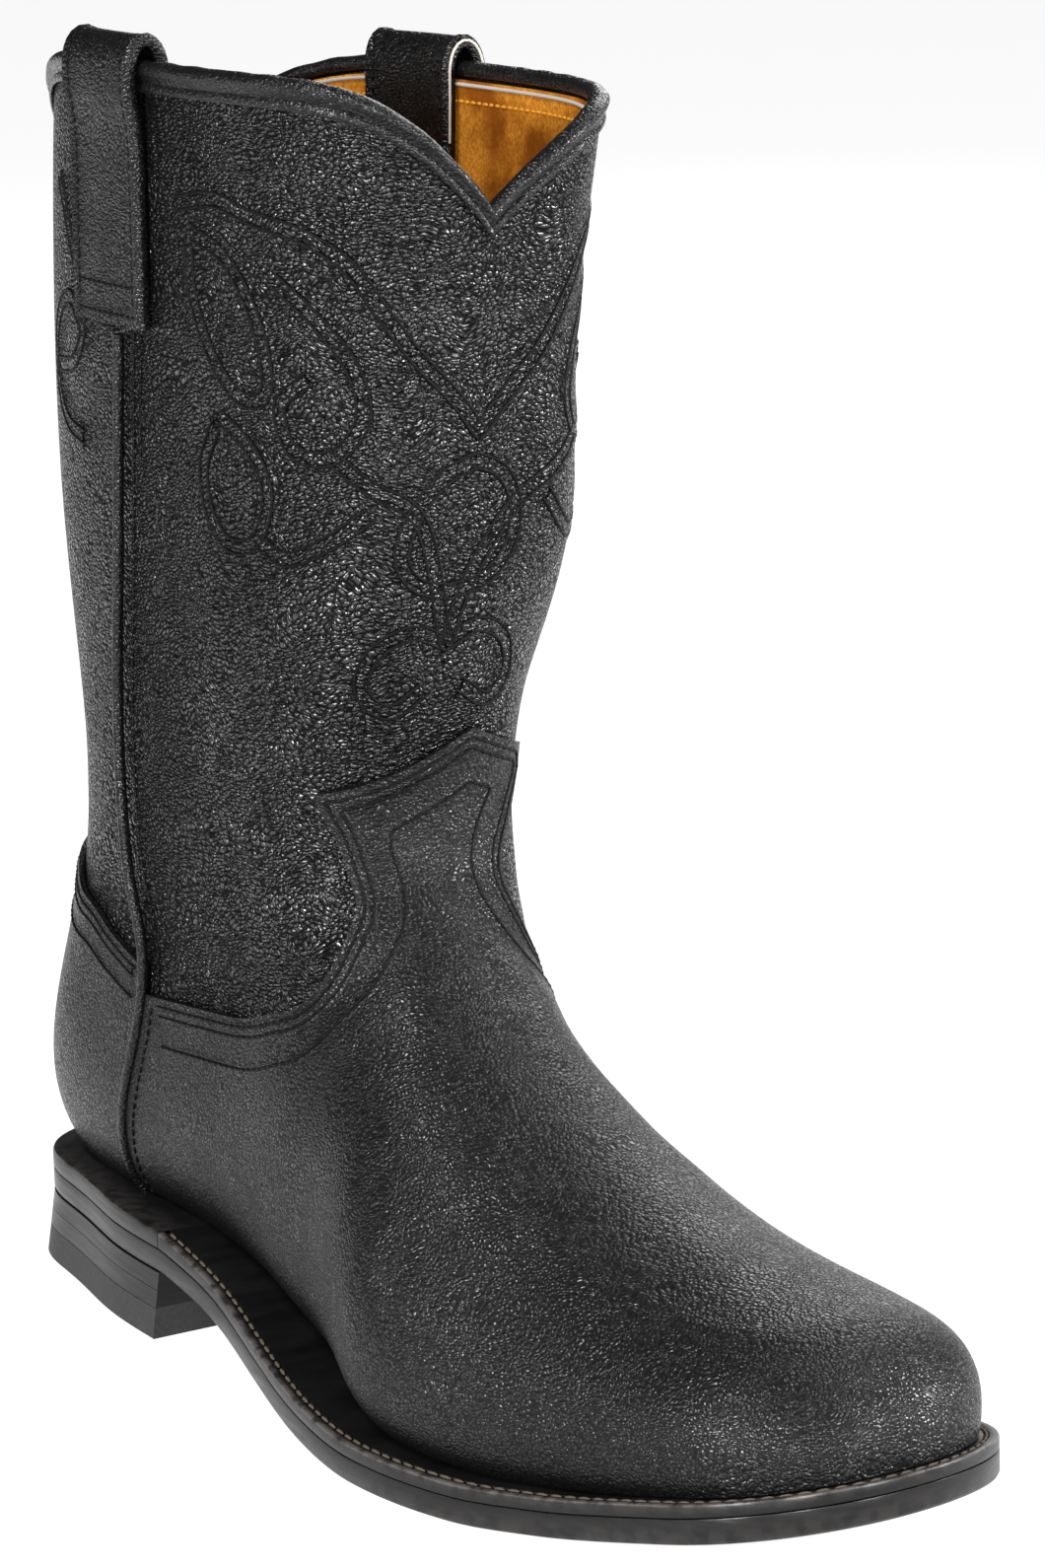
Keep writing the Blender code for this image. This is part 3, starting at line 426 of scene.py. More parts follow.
# Glazed kid for binding and piping: hardly any grain, and a glossy line along each rolled edge
trimLeather = grainLeather("glazedKid", {
    "base": "#0b0b0c", "paintedCreaseShade": "#060607", "worn": "#0f0f10", "dullness": 0.45, "hideIor": 1.2,
    "dressingIor": 1.36, "gloss": 0.13, "pebble": 1.0, "drawnOut": 1.3, "swirl": 3.0, "crease": 0.2,
    "inCrease": 0.2, "depth": 0.16, "fine": 0.4, "fineDepth": 0.02, "patch": 18.0, "leastTop": 0.8,
})

lining = {  # nap and patch count waves to the metre
    "base": "#B86A14", "dark": "#7E440C", "light": "#CF8A2C", "shade": "#663508",
    "nap": 1200.0, "patch": 70.0, "depth": 0.25,
}


def suedeLining(look):  # tan split suede: matt, with a short brushed nap in light and dark patches
    material, tree, shader, place = newMaterial("splitSuede", look["base"], 0.95, IOR=1.15)
    brushed = {"Vector": place, "Scale": look["nap"], "Detail": 4.0}
    nap = addNode(tree, "ShaderNodeTexNoise", brushed).outputs[0]
    patched = {"Vector": place, "Scale": look["patch"], "Detail": 5.0}
    patch = addNode(tree, "ShaderNodeTexNoise", patched).outputs[0]
    parted = {"Value": patch, "From Min": 0.35, "From Max": 0.65}
    part = addNode(tree, "ShaderNodeMapRange", parted, interpolation_type="SMOOTHSTEP").outputs[0]
    tones = {0: part, 6: linearOf(look["dark"]), 7: linearOf(look["light"])}
    blend = addNode(tree, "ShaderNodeMix", tones, data_type="RGBA").outputs[2]
    between = {"Value": nap, "From Min": 0.4, "From Max": 0.6, "To Max": 0.5}
    shade = addNode(tree, "ShaderNodeMapRange", between).outputs[0]
    shaded = {0: shade, 6: blend, 7: linearOf(look["shade"])}
    colour = addNode(tree, "ShaderNodeMix", shaded, data_type="RGBA").outputs[2]
    bump = addNode(tree, "ShaderNodeBump", {"Height": nap, "Distance": look["depth"] * mm, "Strength": 0.8})
    setInputs(tree, shader, {"Base Color": colour, "Normal": bump.outputs[0]})
    return material


edging = {  # along, layer and rub count waves to the metre
    "base": "#121112", "deep": "#070707", "thin": "#100f0f", "bare": "#4a4644",
    "along": 60.0, "layer": 900.0, "rub": 320.0, "depth": 0.08,
}


def soleEdge(look):  # veg-tanned leather, edge-inked black and burnished, paler brown where it has rubbed
    sheen = {"Coat_Weight": 0.05, "Coat_Roughness": 0.22}
    material, tree, shader, place = newMaterial("inkedSoleLeather", look["base"], 0.34, IOR=1.32, **sheen)
    layers = {"Vector": place, "Scale": (look["along"], look["along"], look["layer"])}
    stretched = addNode(tree, "ShaderNodeMapping", layers).outputs[0]
    grain = addNode(tree, "ShaderNodeTexNoise", {"Vector": stretched, "Scale": 1.0, "Detail": 5.0}).outputs[0]
    rubbing = {"Vector": place, "Scale": look["rub"], "Detail": 4.0}
    rub = addNode(tree, "ShaderNodeTexNoise", rubbing).outputs[0]
    wear = addNode(tree, "ShaderNodeAttribute", attribute_name="wear").outputs["Fac"]
    spots = {"Value": rub, "From Min": 0.35, "From Max": 0.6, "To Min": 0.2}
    spot = addNode(tree, "ShaderNodeMapRange", spots, interpolation_type="SMOOTHSTEP").outputs[0]
    rubbed = addNode(tree, "ShaderNodeMath", {0: wear, 1: spot}, operation="MULTIPLY").outputs[0]
    fibre = {"Value": grain, "From Min": 0.3, "From Max": 0.7}
    soaked = addNode(tree, "ShaderNodeMapRange", fibre).outputs[0]
    inked = {0: soaked, 6: linearOf(look["deep"]), 7: linearOf(look["thin"])}
    ink = addNode(tree, "ShaderNodeMix", inked, data_type="RGBA").outputs[2]
    showing = {0: rubbed, 6: ink, 7: linearOf(look["bare"])}
    colour = addNode(tree, "ShaderNodeMix", showing, data_type="RGBA").outputs[2]
    polish = addNode(tree, "ShaderNodeMapRange", {**fibre, "To Min": 0.28, "To Max": 0.42}).outputs[0]
    bump = addNode(tree, "ShaderNodeBump", {"Height": grain, "Distance": look["depth"] * mm, "Strength": 1.0})
    setInputs(tree, shader, {"Base Color": colour, "Roughness": polish, "Normal": bump.outputs[0]})
    return material


moulding = {"base": "#111111", "dark": "#101010", "light": "#1d1d1d", "tooth": 900.0, "depth": 0.12}


def heelRubber(look):  # moulded nitrile rubber: matt charcoal with a fine moulded tooth
    material, tree, shader, place = newMaterial("mouldedRubber", look["base"], 0.6)
    pattern = {"Vector": place, "Scale": look["tooth"], "Detail": 3.0}
    tooth = addNode(tree, "ShaderNodeTexNoise", pattern).outputs[0]
    bump = addNode(tree, "ShaderNodeBump", {"Height": tooth, "Distance": look["depth"] * mm, "Strength": 0.7})
    raised = {"Value": tooth, "From Min": 0.35, "From Max": 0.65}
    toothTop = addNode(tree, "ShaderNodeMapRange", raised).outputs[0]
    tones = {0: toothTop, 6: linearOf(look["dark"]), 7: linearOf(look["light"])}
    colour = addNode(tree, "ShaderNodeMix", tones, data_type="RGBA").outputs[2]
    setInputs(tree, shader, {"Base Color": colour, "Normal": bump.outputs[0]})
    return material


yarn = {"twist": 0.4, "depth": 0.08}


def threadOf(name, base, roughness):  # waxed thread or a cut edge: matt, with the fine roughness of fibres
    material, tree, shader, place = newMaterial(name, base, roughness, IOR=1.2)
    fibres = {"Vector": place, "Scale": 1000 / yarn["twist"], "Detail": 2.0}
    twist = addNode(tree, "ShaderNodeTexNoise", fibres).outputs[0]
    bump = addNode(tree, "ShaderNodeBump", {"Height": twist, "Distance": yarn["depth"] * mm, "Strength": 0.8})
    setInputs(tree, shader, {"Normal": bump.outputs[0]})
    return material


suede = suedeLining(lining)
edgeInk = soleEdge(edging)
rubber = heelRubber(moulding)
blackThread = threadOf("waxedPolyesterThread", "#040404", 0.4)
# A near-black line laid under each row of stitches: painted shade standing for the shadow in the stitch
# channel
paintedChannelShade = threadOf("paintedShadeInStitchChannel", "#020202", 0.6)
weltThread = threadOf("waxedLinenThread", "#4A4238", 0.7)
paleEdge = threadOf("rawLeatherEdge", "#A9A39A", 0.8)
goldThread = threadOf("goldenLinenThread", "#C98A2B", 0.7)
print("materials ready")


def gridFaces(rings, columns, start=0, flip=False):
    i = np.arange(rings - 1)[:, None]
    j = np.arange(columns)[None, :]
    k = (j + 1) % columns
    low, high = i * columns, (i + 1) * columns
    quads = np.stack([low + j, low + k, high + k, high + j], axis=-1) + start
    quads = quads.reshape(-1, 4)
    return quads[:, ::-1] if flip else quads


def meshOf(name, points, faces):
    mesh = bpy.data.meshes.new(name)
    mesh.from_pydata(np.asarray(points, float).tolist(), [], [list(map(int, face)) for face in faces])
    return mesh


def turnedOut(mesh, merge=0.0):  # faces pointing out, once points nearer than the given distance are one
    shape = bmesh.new()
    shape.from_mesh(mesh)
    if merge:
        bmesh.ops.remove_doubles(shape, verts=shape.verts, dist=merge)
    bmesh.ops.recalc_face_normals(shape, faces=shape.faces)
    shape.to_mesh(mesh)
    shape.free()
    return mesh


def shellMesh(name, outer, inner):  # closed toes, and one strip that joins the open rims
    rings, columns = outer.shape[:2]
    start = rings * columns
    faces = gridFaces(rings, columns).tolist() + gridFaces(rings, columns, start, True).tolist()
    faces += [list(reversed(range(columns))), [start + j for j in range(columns)]]
    rim = (rings - 1) * columns
    for j in range(columns):
        k = (j + 1) % columns
        faces.append([rim + j, start + rim + j, start + rim + k, rim + k][::-1])
    return meshOf(name, np.vstack([outer.reshape(-1, 3), inner.reshape(-1, 3)]), faces)


def shiftOverSole(mesh, sign):
    places = np.empty(len(mesh.vertices) * 3)
    mesh.vertices.foreach_get("co", places)
    places = places.reshape(-1, 3)
    top = soleTop(np.clip(places[:, 0], 0, last["soleLength"])) + last["clearance"]
    places[:, 2] -= sign * top
    mesh.vertices.foreach_set("co", places.ravel())


def cutAtSole(mesh):  # takes off what lies below the welt's upper face, and closes the cut
    shiftOverSole(mesh, 1)
    shape = bmesh.new()
    shape.from_mesh(mesh)
    geometry = shape.verts[:] + shape.edges[:] + shape.faces[:]
    bmesh.ops.bisect_plane(shape, geom=geometry, plane_co=(0, 0, 0), plane_no=(0, 0, 1), clear_inner=True)
    cut = [edge for edge in shape.edges if edge.is_boundary]
    bmesh.ops.triangle_fill(shape, use_beauty=True, edges=cut, normal=(0, 0, -1))
    bmesh.ops.recalc_face_normals(shape, faces=shape.faces)
    shape.to_mesh(mesh)
    shape.free()
    shiftOverSole(mesh, -1)
    return mesh


def temporary(mesh):
    made = bpy.data.objects.new(mesh.name, mesh)
    bpy.context.scene.collection.objects.link(made)
    return made


def plainMesh(source):  # the evaluated object as a plain mesh; the source object goes
    bpy.context.view_layer.update()
    graph = bpy.context.evaluated_depsgraph_get()
    mesh = bpy.data.meshes.new_from_object(source.evaluated_get(graph))
    bpy.data.objects.remove(source)
    return mesh


def keptWithin(mesh, form):  # what lies inside a closed form
    cutter = temporary(form)
    source = temporary(mesh)
    modifier = source.modifiers.new("within", "BOOLEAN")
    modifier.operation = "INTERSECT"
    modifier.object = cutter
    modifier.solver = "EXACT"
    kept = plainMesh(source)
    bpy.data.objects.remove(cutter)
    return kept


def withinOutline(mesh, points, frontView=False):  # keeps what lies within the outline in side or front view
    count = len(points)
    if frontView:
        rings = [(0.4, y, z) for y, z in points] + [(-0.05, y, z) for y, z in points]
    else:
        rings = [(x, -0.12, z) for x, z in points] + [(x, 0.12, z) for x, z in points]
    faces = [list(range(count)), list(reversed(range(count, 2 * count)))]
    faces += [[i, (i + 1) % count, count + (i + 1) % count, count + i] for i in range(count)]
    return keptWithin(mesh, turnedOut(meshOf("outline", rings, faces)))


# One finished piece: smooth but for its sharp edges, riding on the boot's only body
def addPiece(name, mesh, materials, replaced=(), sharp=35.0):
    mesh.name = name
    mesh.transform(Matrix.Translation((-last["heelLength"] / 2, 0, 0)))
    mesh.materials.clear()
    for material in materials:
        mesh.materials.append(material)
    shape = bmesh.new()
    shape.from_mesh(mesh)
    for face in shape.faces:
        face.smooth = True
    for edge in shape.edges:
        edge.smooth = len(edge.link_faces) != 2 or edge.calc_face_angle(0) < math.radians(sharp)
    shape.to_mesh(mesh)
    shape.free()
    made = bpy.data.objects.new(name, mesh)
    bpy.context.scene.collection.objects.link(made)
    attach(made, "root")
    if replaced:
        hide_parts(*replaced)
    return made


def sidePoint(shareX, shareZ):
    return shareX * last["soleLength"], seat + shareZ * last["shaftHeight"]


def seamLine(shift, count=60):
    line = [sidePoint(*share) for share in bSpline(sideSeam, np.linspace(0, len(sideSeam) - 1, count))]
    return [(x + shift, z) for x, z in [(line[0][0], 0.0)] + line]


def throughPoints(points, count):  # a smooth curve through every point
    points = np.asarray(points, float)
    full = np.vstack([2 * points[0] - points[1], points, 2 * points[-1] - points[-2]])
    t = np.linspace(0, len(points) - 1, count)
    k = np.minimum(t.astype(int), len(points) - 2)
    u = (t - k)[:, None]
    a, b, c, d = full[k], full[k + 1], full[k + 2], full[k + 3]
    return 0.5 * (2 * b + (c - a) * u + (2 * a - 5 * b + 4 * c - d) * u**2 + (3 * b - a - 3 * c + d) * u**3)


grid = makeGrid()
normals = gridNormals(grid)


def offsetGrid(distance, rows=slice(None)):
    return (grid + normals * distance)[rows]


def treeOf(points):
    rings, columns = points.shape[:2]
    faces = gridFaces(rings, columns).tolist()
    return BVHTree.FromPolygons([Vector(point) for point in points.reshape(-1, 3)], faces)


leatherThickness = 1.3 * mm
overlay = 1.2 * mm
channel = 1.6 * mm
upperMesh = cutAtSole(shellMesh("upper", offsetGrid(0.0), offsetGrid(-leatherThickness)))
addPiece("upper_leather", upperMesh, [shaftLeather], ["upper"])
liningGrids = offsetGrid(-leatherThickness - 0.1 * mm), offsetGrid(-last["wall"])
liningMesh = cutAtSole(shellMesh("lining", *liningGrids))
addPiece("lining", liningMesh, [suede])
print("upper and lining made")

# Vamp and counter: cut in side view, with a corner at the side of the tongue
vampTop = throughPoints([sidePoint(*share) for share in vampEdge], 80)
peakY, peakZ = tongue["peak"][0] * last["shaftWidth"], seat + tongue["peak"][1] * last["shaftHeight"]


def roofHeight(y):  # the tongue's two upper edges, a little hollow
    run = np.abs(y - peakY)
    return peakZ - tongue["fall"] * run - tongue["hollow"] * np.sin(np.clip(run / (34 * mm), 0, 1) * math.pi)


counterTop = throughPoints([sidePoint(*share) for share in counterEdge], 40)
ahead = 1.2 * last["soleLength"]


def seamBelow(shift, height):
    return [point for point in seamLine(shift) if point[1] < height]


lowRows = slice(0, gridSize["toe"] + gridSize["foot"] + gridSize["shaft"] // 2)
above = seat + last["shaftHeight"]
frontBox = [(vampTop[-1][0], above), (ahead, above), (ahead, 0.0)]
vampOutline = seamBelow(channel, vampTop[0][1]) + [tuple(point) for point in vampTop] + frontBox
roofY = np.linspace(peakY - 0.1, peakY + 0.1, 121)
roof = [(roofY[0], -0.05)] + list(zip(roofY, roofHeight(roofY))) + [(roofY[-1], -0.05)]
counterOutline = seamBelow(-channel, counterTop[0][1]) + [tuple(point) for point in counterTop]
counterOutline += [(counterTop[-1][0], 0.0)]
for name, points in (("vamp", vampOutline), ("counter", counterOutline)):
    outside = offsetGrid(last["clearance"] + overlay, lowRows)
    panel = shellMesh(name, outside, offsetGrid(last["clearance"], lowRows))
    panel = withinOutline(panel, points)
    if name == "vamp":
        panel = withinOutline(panel, roof, True)
    addPiece(f"{name}_panel", cutAtSole(panel), [footLeather], [name])
print("vamp and counter made")


# Points on both sides of the sole's outline between two x, closer together at a round end
def spread(bounds, count, inset):
    outer, inner = outlineLoop(inset, 241)
    start, end = max(bounds[0], outer[0, 0]), min(bounds[1], outer[-1, 0])
    roundStart, roundEnd = bounds[0] <= 0, bounds[1] >= last["soleLength"]
    if roundStart and roundEnd:
        share = (1 - np.cos(np.linspace(0, math.pi, count))) / 2
    elif roundEnd:
        share = np.sin(np.linspace(0, math.pi / 2, count))
    else:
        share = 1 - np.cos(np.linspace(0, math.pi / 2, count))
    x = start + share * (end - start)
    yOuter = np.interp(x, outer[:, 0], outer[:, 1])
    yInner = np.interp(x, inner[:, 0], inner[:, 1])
    return np.concatenate([x, x[::-1]]), np.concatenate([yOuter, yInner[::-1]])


# A layer of the sole. Each row of the profile holds: inset in mm, which face it is measured from, rise in mm
# from that face, and how worn the edge is there
def slabMesh(name, bounds, low, high, profile, count=150):
    points, wear = [], []
    for inset, base, rise, worn in profile:
        x, y = spread(bounds, count, inset * mm)
        z = (low(x) if base == "low" else high(x)) + rise * mm
        points.append(np.column_stack([x, y, z]))
        wear += [worn] * len(x)
    around = 2 * count
    faces = gridFaces(len(profile), around).tolist()
    for level, flip in ((0, False), (len(profile) - 1, True)):
        base = level * around
        for k in range(count - 1):
            quad = [base + k, base + k + 1, base + around - 2 - k, base + around - 1 - k]
            faces.append(quad[::-1] if flip else quad)
    mesh = meshOf(name, np.vstack(points), faces)
    mesh.attributes.new("wear", "FLOAT", "POINT").data.foreach_set("value", wear)
    return turnedOut(mesh, 1e-6)


def levelAt(height):  # a flat face at one height
    def face(x):
        return np.full(np.shape(x), height)
    return face


def weltFloor(x):  # a hair above the outsole
    return underside(x) + last["outsole"] + 0.12 * mm


whole = (0.0, last["soleLength"])
behind = (0.0, last["heelLength"])
outsoleProfile = [
    (7.4, "low", 0, 0), (6.8, "low", 0.5, 0), (6.2, "low", 0, 0), (1.0, "low", 0, 0),
    (0.35, "low", 0.25, 0.3), (0, "low", 0.9, 0.2), (0, "high", -0.35, 0), (0.1, "high", -0.1, 0),
    (0.3, "high", 0, 0), (8, "high", 0, 0),
]
weltProfile = [
    (8, "low", 0, 0), (0.3, "low", 0, 0), (0.1, "low", 0.1, 0), (0, "low", 0.3, 0), (0, "high", -0.7, 0.2),
    (0.22, "high", -0.2, 1), (0.7, "high", 0, 0.8), (1.5, "high", 0.02, 0.15), (1.9, "high", -0.05, 0),
    (2.2, "high", -0.55, 0), (2.9, "high", -0.6, 0), (3.2, "high", -0.1, 0), (3.7, "high", 0, 0),
    (9, "high", 0, 0),
]
randProfile = [
    (8, "low", 0, 0), (0.3, "low", 0, 0), (0.1, "low", 0.1, 0), (0, "low", 0.3, 0), (0, "high", -0.9, 0.1),
    (0.3, "high", -0.25, 0.35), (1.0, "high", 0, 0.2), (9, "high", 0, 0),
]


def outsoleTop(x):
    return underside(x) + last["outsole"]


joint = 0.15 * mm  # half the gap between welt and rand
weltRun = (last["heelLength"] + joint, whole[1])
layers = [
    ("leather_outsole", "outsole", whole, underside, outsoleTop, outsoleProfile, 150),
    ("stitched_welt", "welt", weltRun, weltFloor, soleTop, weltProfile, 150),
    ("seat_rand", "heel_rand", (0.0, last["heelLength"] - joint), weltFloor, soleTop, randProfile, 60),
]
for name, node, bounds, low, high, profile, count in layers:
    addPiece(name, slabMesh(node, bounds, low, high, profile, count), [edgeInk], [node])
liftHeight = (last["heelHeight"] - last["topLift"]) / 2
liftEdges = [0.0, last["topLift"], last["topLift"] + liftHeight, last["heelHeight"]]
lifts = [  # the last value is the round of the edge in mm
    ("rubber_top_lift", "top_lift", rubber, "heel_rubber", 0.22),
    ("lower_heel_lift", "heel_lift_1", edgeInk, "sole_leather", 0.08),
    ("upper_heel_lift", "heel_lift_2", edgeInk, "sole_leather", 0.08),
]
for (name, node, material, slotName, edge), low, high in zip(lifts, liftEdges[:-1], liftEdges[1:]):
    flare = [last["heelFlare"] / mm * (1 - z / last["heelHeight"]) for z in (low, high)]
    profile = [
        (8, "low", 0, 0), (edge - flare[0], "low", 0, 0), (-flare[0], "low", edge, 0),
        (-flare[1], "high", -edge, 0), (edge - flare[1], "high", 0, 0), (8, "high", 0, 0),
    ]
    lift = slabMesh(node, behind, levelAt(low), levelAt(high), profile, 60)
    addPiece(name, lift, [material], [node])


boardSize = {"thickness": 2.5 * mm, "gapToLining": 0.8 * mm}


def boardTop(x):
    return soleTop(x) + last["clearance"] + boardSize["thickness"]


boardInset = (last["weltMargin"] + last["wall"] - last["bulge"]) / mm
boardProfile = [
    (boardInset + 6, "low", 0.3, 0), (boardInset, "low", 0.3, 0), (boardInset, "high", -0.6, 0),
    (boardInset + 0.6, "high", 0, 0), (boardInset + 8, "high", 0, 0),
]
board = slabMesh("insole", whole, soleTop, boardTop, boardProfile, 100)
inside = offsetGrid(-last["wall"] - boardSize["gapToLining"])[::2, ::2]
rings, columns = inside.shape[:2]
faces = gridFaces(rings, columns).tolist()
faces += [list(reversed(range(columns))), [(rings - 1) * columns + j for j in range(columns)]]
board = keptWithin(board, meshOf("inside", inside.reshape(-1, 3), faces))
addPiece("sock_board", board, [suede], ["insole"])
print("sole, heel and insole made")

leatherTree = treeOf(grid)
overlayTree = treeOf(offsetGrid(last["clearance"] + overlay))


def onSide(tree, x, z, side):
    place, normal, _, _ = tree.ray_cast(Vector((x, side, z)), Vector((0, -side, 0)))
    if place is None:
        return None, None
    return place, normal if normal.y * side > 0 else -normal


# Turns paths into stitches, each a small drawn-out ball, or into a cord or a thin line, by a swept circle
def pathTree(kind):
    tree = bpy.data.node_groups.new(kind, "GeometryNodeTree")
    names = ["Geometry", "Material"]
    names += ["Pitch", "Length", "Width", "Seed"] if kind == "stitches" else ["Radius"]
    kinds = {"Geometry": "NodeSocketGeometry", "Material": "NodeSocketMaterial", "Seed": "NodeSocketInt"}
    for name in names:
        socketKind = kinds.get(name, "NodeSocketFloat")
        tree.interface.new_socket(name, in_out="INPUT", socket_type=socketKind)
    tree.interface.new_socket("Geometry", in_out="OUTPUT", socket_type="NodeSocketGeometry")
    given = tree.nodes.new("NodeGroupInput").outputs
    curve = addNode(tree, "GeometryNodeMeshToCurve", {"Mesh": given["Geometry"]}).outputs[0]
    if kind != "stitches":
        circle = {"Resolution": 8 if kind == "thin" else 14, "Radius": given["Radius"]}
        ring = addNode(tree, "GeometryNodeCurvePrimitiveCircle", circle).outputs[0]
        swept = {"Curve": curve, "Profile Curve": ring, "Fill Caps": True}
        made = addNode(tree, "GeometryNodeCurveToMesh", swept).outputs[0]
    else:
        spacing = {"Curve": curve, "Length": given["Pitch"]}
        spots = addNode(tree, "GeometryNodeCurveToPoints", spacing, mode="LENGTH").outputs
        tangent = {"Vector": spots["Tangent"]}
        turn = addNode(tree, "FunctionNodeAlignRotationToVector", tangent, axis="Z").outputs[0]
        ball = {"Segments": 6, "Rings": 5, "Radius": 1.0}
        stitch = addNode(tree, "GeometryNodeMeshUVSphere", ball).outputs[0]
        limits = {2: 0.88, 3: 1.08, "Seed": given["Seed"]}
        vary = addNode(tree, "FunctionNodeRandomValue", limits).outputs[1]
        half = []
        for name in ("Width", "Length"):
            halved = addNode(tree, "ShaderNodeMath", {0: given[name], 1: 0.5}, operation="MULTIPLY")
            half.append(halved.outputs[0])
        long = addNode(tree, "ShaderNodeMath", {0: half[1], 1: vary}, operation="MULTIPLY").outputs[0]
        size = addNode(tree, "ShaderNodeCombineXYZ", {"X": half[0], "Y": half[0], "Z": long}).outputs[0]
        placed = {"Points": spots["Points"], "Instance": stitch, "Rotation": turn, "Scale": size}
        made = addNode(tree, "GeometryNodeInstanceOnPoints", placed).outputs[0]
    real = addNode(tree, "GeometryNodeRealizeInstances", {"Geometry": made}).outputs[0]
    finish = {"Geometry": real, "Material": given["Material"]}
    dressed = addNode(tree, "GeometryNodeSetMaterial", finish).outputs[0]
    addNode(tree, "NodeGroupOutput", {"Geometry": dressed})
    return tree


trees = {kind: pathTree(kind) for kind in ("stitches", "cord", "thin")}


# One piece from many paths, through the tree of that kind
def alongPaths(kind, name, paths, material, slotName, replaced=(), **sizes):
    points, edges = [], []
    for path in paths:
        start = len(points)
        points += [tuple(point) for point in path]
        edges += [(start + k, start + k + 1) for k in range(len(path) - 1)]
    mesh = bpy.data.meshes.new(name)
    mesh.from_pydata(points, edges, [])
    source = temporary(mesh)
    modifier = source.modifiers.new(kind, "NODES")
    modifier.node_group = trees[kind]
    sizes["Material"] = material
    for item in trees[kind].interface.items_tree:
        if item.name in sizes:
            modifier[item.identifier] = sizes[item.name]
    made = plainMesh(source)
    return addPiece(name, made, [material], replaced, sharp=60.0)


def spaced(points, count):  # so many points, evenly spaced along the line
    points = np.array(points, float)
    length = lengthAlong(points)
    places = np.linspace(0, length[-1], count)
    return np.column_stack([np.interp(places, length, column) for column in points.T])


def evenly(path, step):  # points about a step apart
    return spaced(path, max(2, int(round(lengthAlong(np.array(path, float))[-1] / step)) + 1))


# The nearest place on a surface, and its normal, turned away from the boot's middle
def nearestOn(tree, point):
    place, normal, _, _ = tree.find_nearest(Vector(point))
    outward = Vector(point) - Vector((0.07, 0.01, point[2]))
    return place, -normal if normal.dot(outward) < 0 else normal


def settled(path, tree, lift):  # drops a path on to a surface, and lifts it along the normal
    made = []
    for point in path:
        place, normal = nearestOn(tree, point)
        made.append(place + normal * lift)
    return np.array(made)


def rowBeside(path, tree, distance, lift):  # a row at a distance to the left of the path, seen from outside
    path = evenly(path, 0.8 * mm)
    tangent = np.gradient(path, axis=0)
    made = []
    for point, along in zip(path, tangent):
        place, normal, _, _ = tree.find_nearest(Vector(point))
        side = normal.cross(Vector(along)).normalized()
        made.append(place + side * distance)
    made = settled(made, tree, 0.0)
    away = np.linalg.norm(made[:, None] - path[None, ::3], axis=2).min(axis=1)
    kept = made[away > abs(distance) * 0.93]
    smooth = kept.copy()
    for _ in range(2):
        smooth[1:-1] = (smooth[:-2] + 2 * smooth[1:-1] + smooth[2:]) / 4
    return settled(evenly(smooth, 0.8 * mm), tree, lift)


# A side view curve on the outer side, across the front or back, and down the inner side
def roundBoth(points, tree):
    halves = []
    for side in (-1, 1):
        line = []
        for x, z in points:
            place, _ = onSide(tree, x, z, side)
            if place is None:
                break
            line.append(place)
        halves.append(line)
    return halves[0] + halves[1][::-1]


# Piping down both side seams
piping = {"radius": 1.25 * mm, "stand": 0.35 * mm, "strapLength": 53 * mm}
# Each side: its sign, its peak, the middle of its strap, and its word
sides = [
    (-1, collar["outerPeak"], 0.420 * last["shaftDepth"], "outer"),
    (1, collar["innerPeak"], 0.356 * last["shaftDepth"], "inner"),
]
seamPaths = {}
for side, peak, _, word in sides:
    top = seat + peak - piping["strapLength"] - piping["radius"]
    seam = [(x, z) for x, z in spaced(seamLine(0.0), 160) if soleTop(x) < z < top]
    spots = [onSide(leatherTree, x, z, side) for x, z in seam]
    seamPaths[side] = [place for place, _ in spots]
    path = [place + normal * (piping["radius"] + piping["stand"]) for place, normal in spots]
    replaced = [f"side_piping_{word}"]
    sizes = {"Radius": piping["radius"]}
    alongPaths("cord", f"seam_piping_{word}", [path], trimLeather, "trim_leather", replaced, **sizes)
print("piping made")

# Collar binding: a flat tape outside the rim and a rolled bead over it
binding = {
    "band": 2.4 * mm, "tape": 0.8 * mm, "beadWidth": 4.6 * mm, "beadHeight": 3.9 * mm, "ripple": 0.035,
    "edgeFall": 0.2 * mm, "edgeRise": 0.3 * mm, "arc": (-38, 218),
}
rim = grid[-1]
rimNormal = normals[-1].copy()
rimNormal[:, 2] = 0
rimNormal /= np.linalg.norm(rimNormal, axis=1)[:, None]
down = grid[-4] - grid[-1]
down /= np.linalg.norm(down, axis=1)[:, None]
clear, tape = last["clearance"], binding["tape"]
beadMiddle = -last["wall"] / 2 + clear + tape / 2
# Out from the rim and up from it, from the tape's lower edge up to the bead and over it
section = [
    (clear, -binding["band"]), (clear + 0.5 * tape, -binding["band"] - binding["edgeFall"]),
    (clear + tape, -binding["band"] + binding["edgeRise"]), (clear + tape, -1.7 * mm),
    (clear + tape, -1.1 * mm), (clear + 0.4 * tape, -0.4 * mm),
]
for turn in np.radians(np.linspace(*binding["arc"], 19)):
    rise = clear + binding["beadHeight"] * (0.5 + 0.5 * math.sin(turn))
    section.append((beadMiddle + binding["beadWidth"] / 2 * math.cos(turn), rise))
section.append((clear * 0.4, clear))
around = np.linspace(0, 2 * math.pi, len(rim), endpoint=False)
ripple = 1 + binding["ripple"] * np.sin(around * 37) * np.sin(around * 5 + 1)
rings = []
for out, up in section:
    swell = (ripple if up > -2 * mm else np.ones(len(rim)))[:, None]
    rings.append(rim + down * max(-up, 0) + rimNormal * out * swell + np.array([0, 0, max(up, 0)]) * swell)
rings = np.array(rings)
count, columns = rings.shape[:2]
final = (count - 1) * columns
faces = gridFaces(count, columns).tolist()
faces += [[final + j, final + (j + 1) % columns, (j + 1) % columns, j] for j in range(columns)]
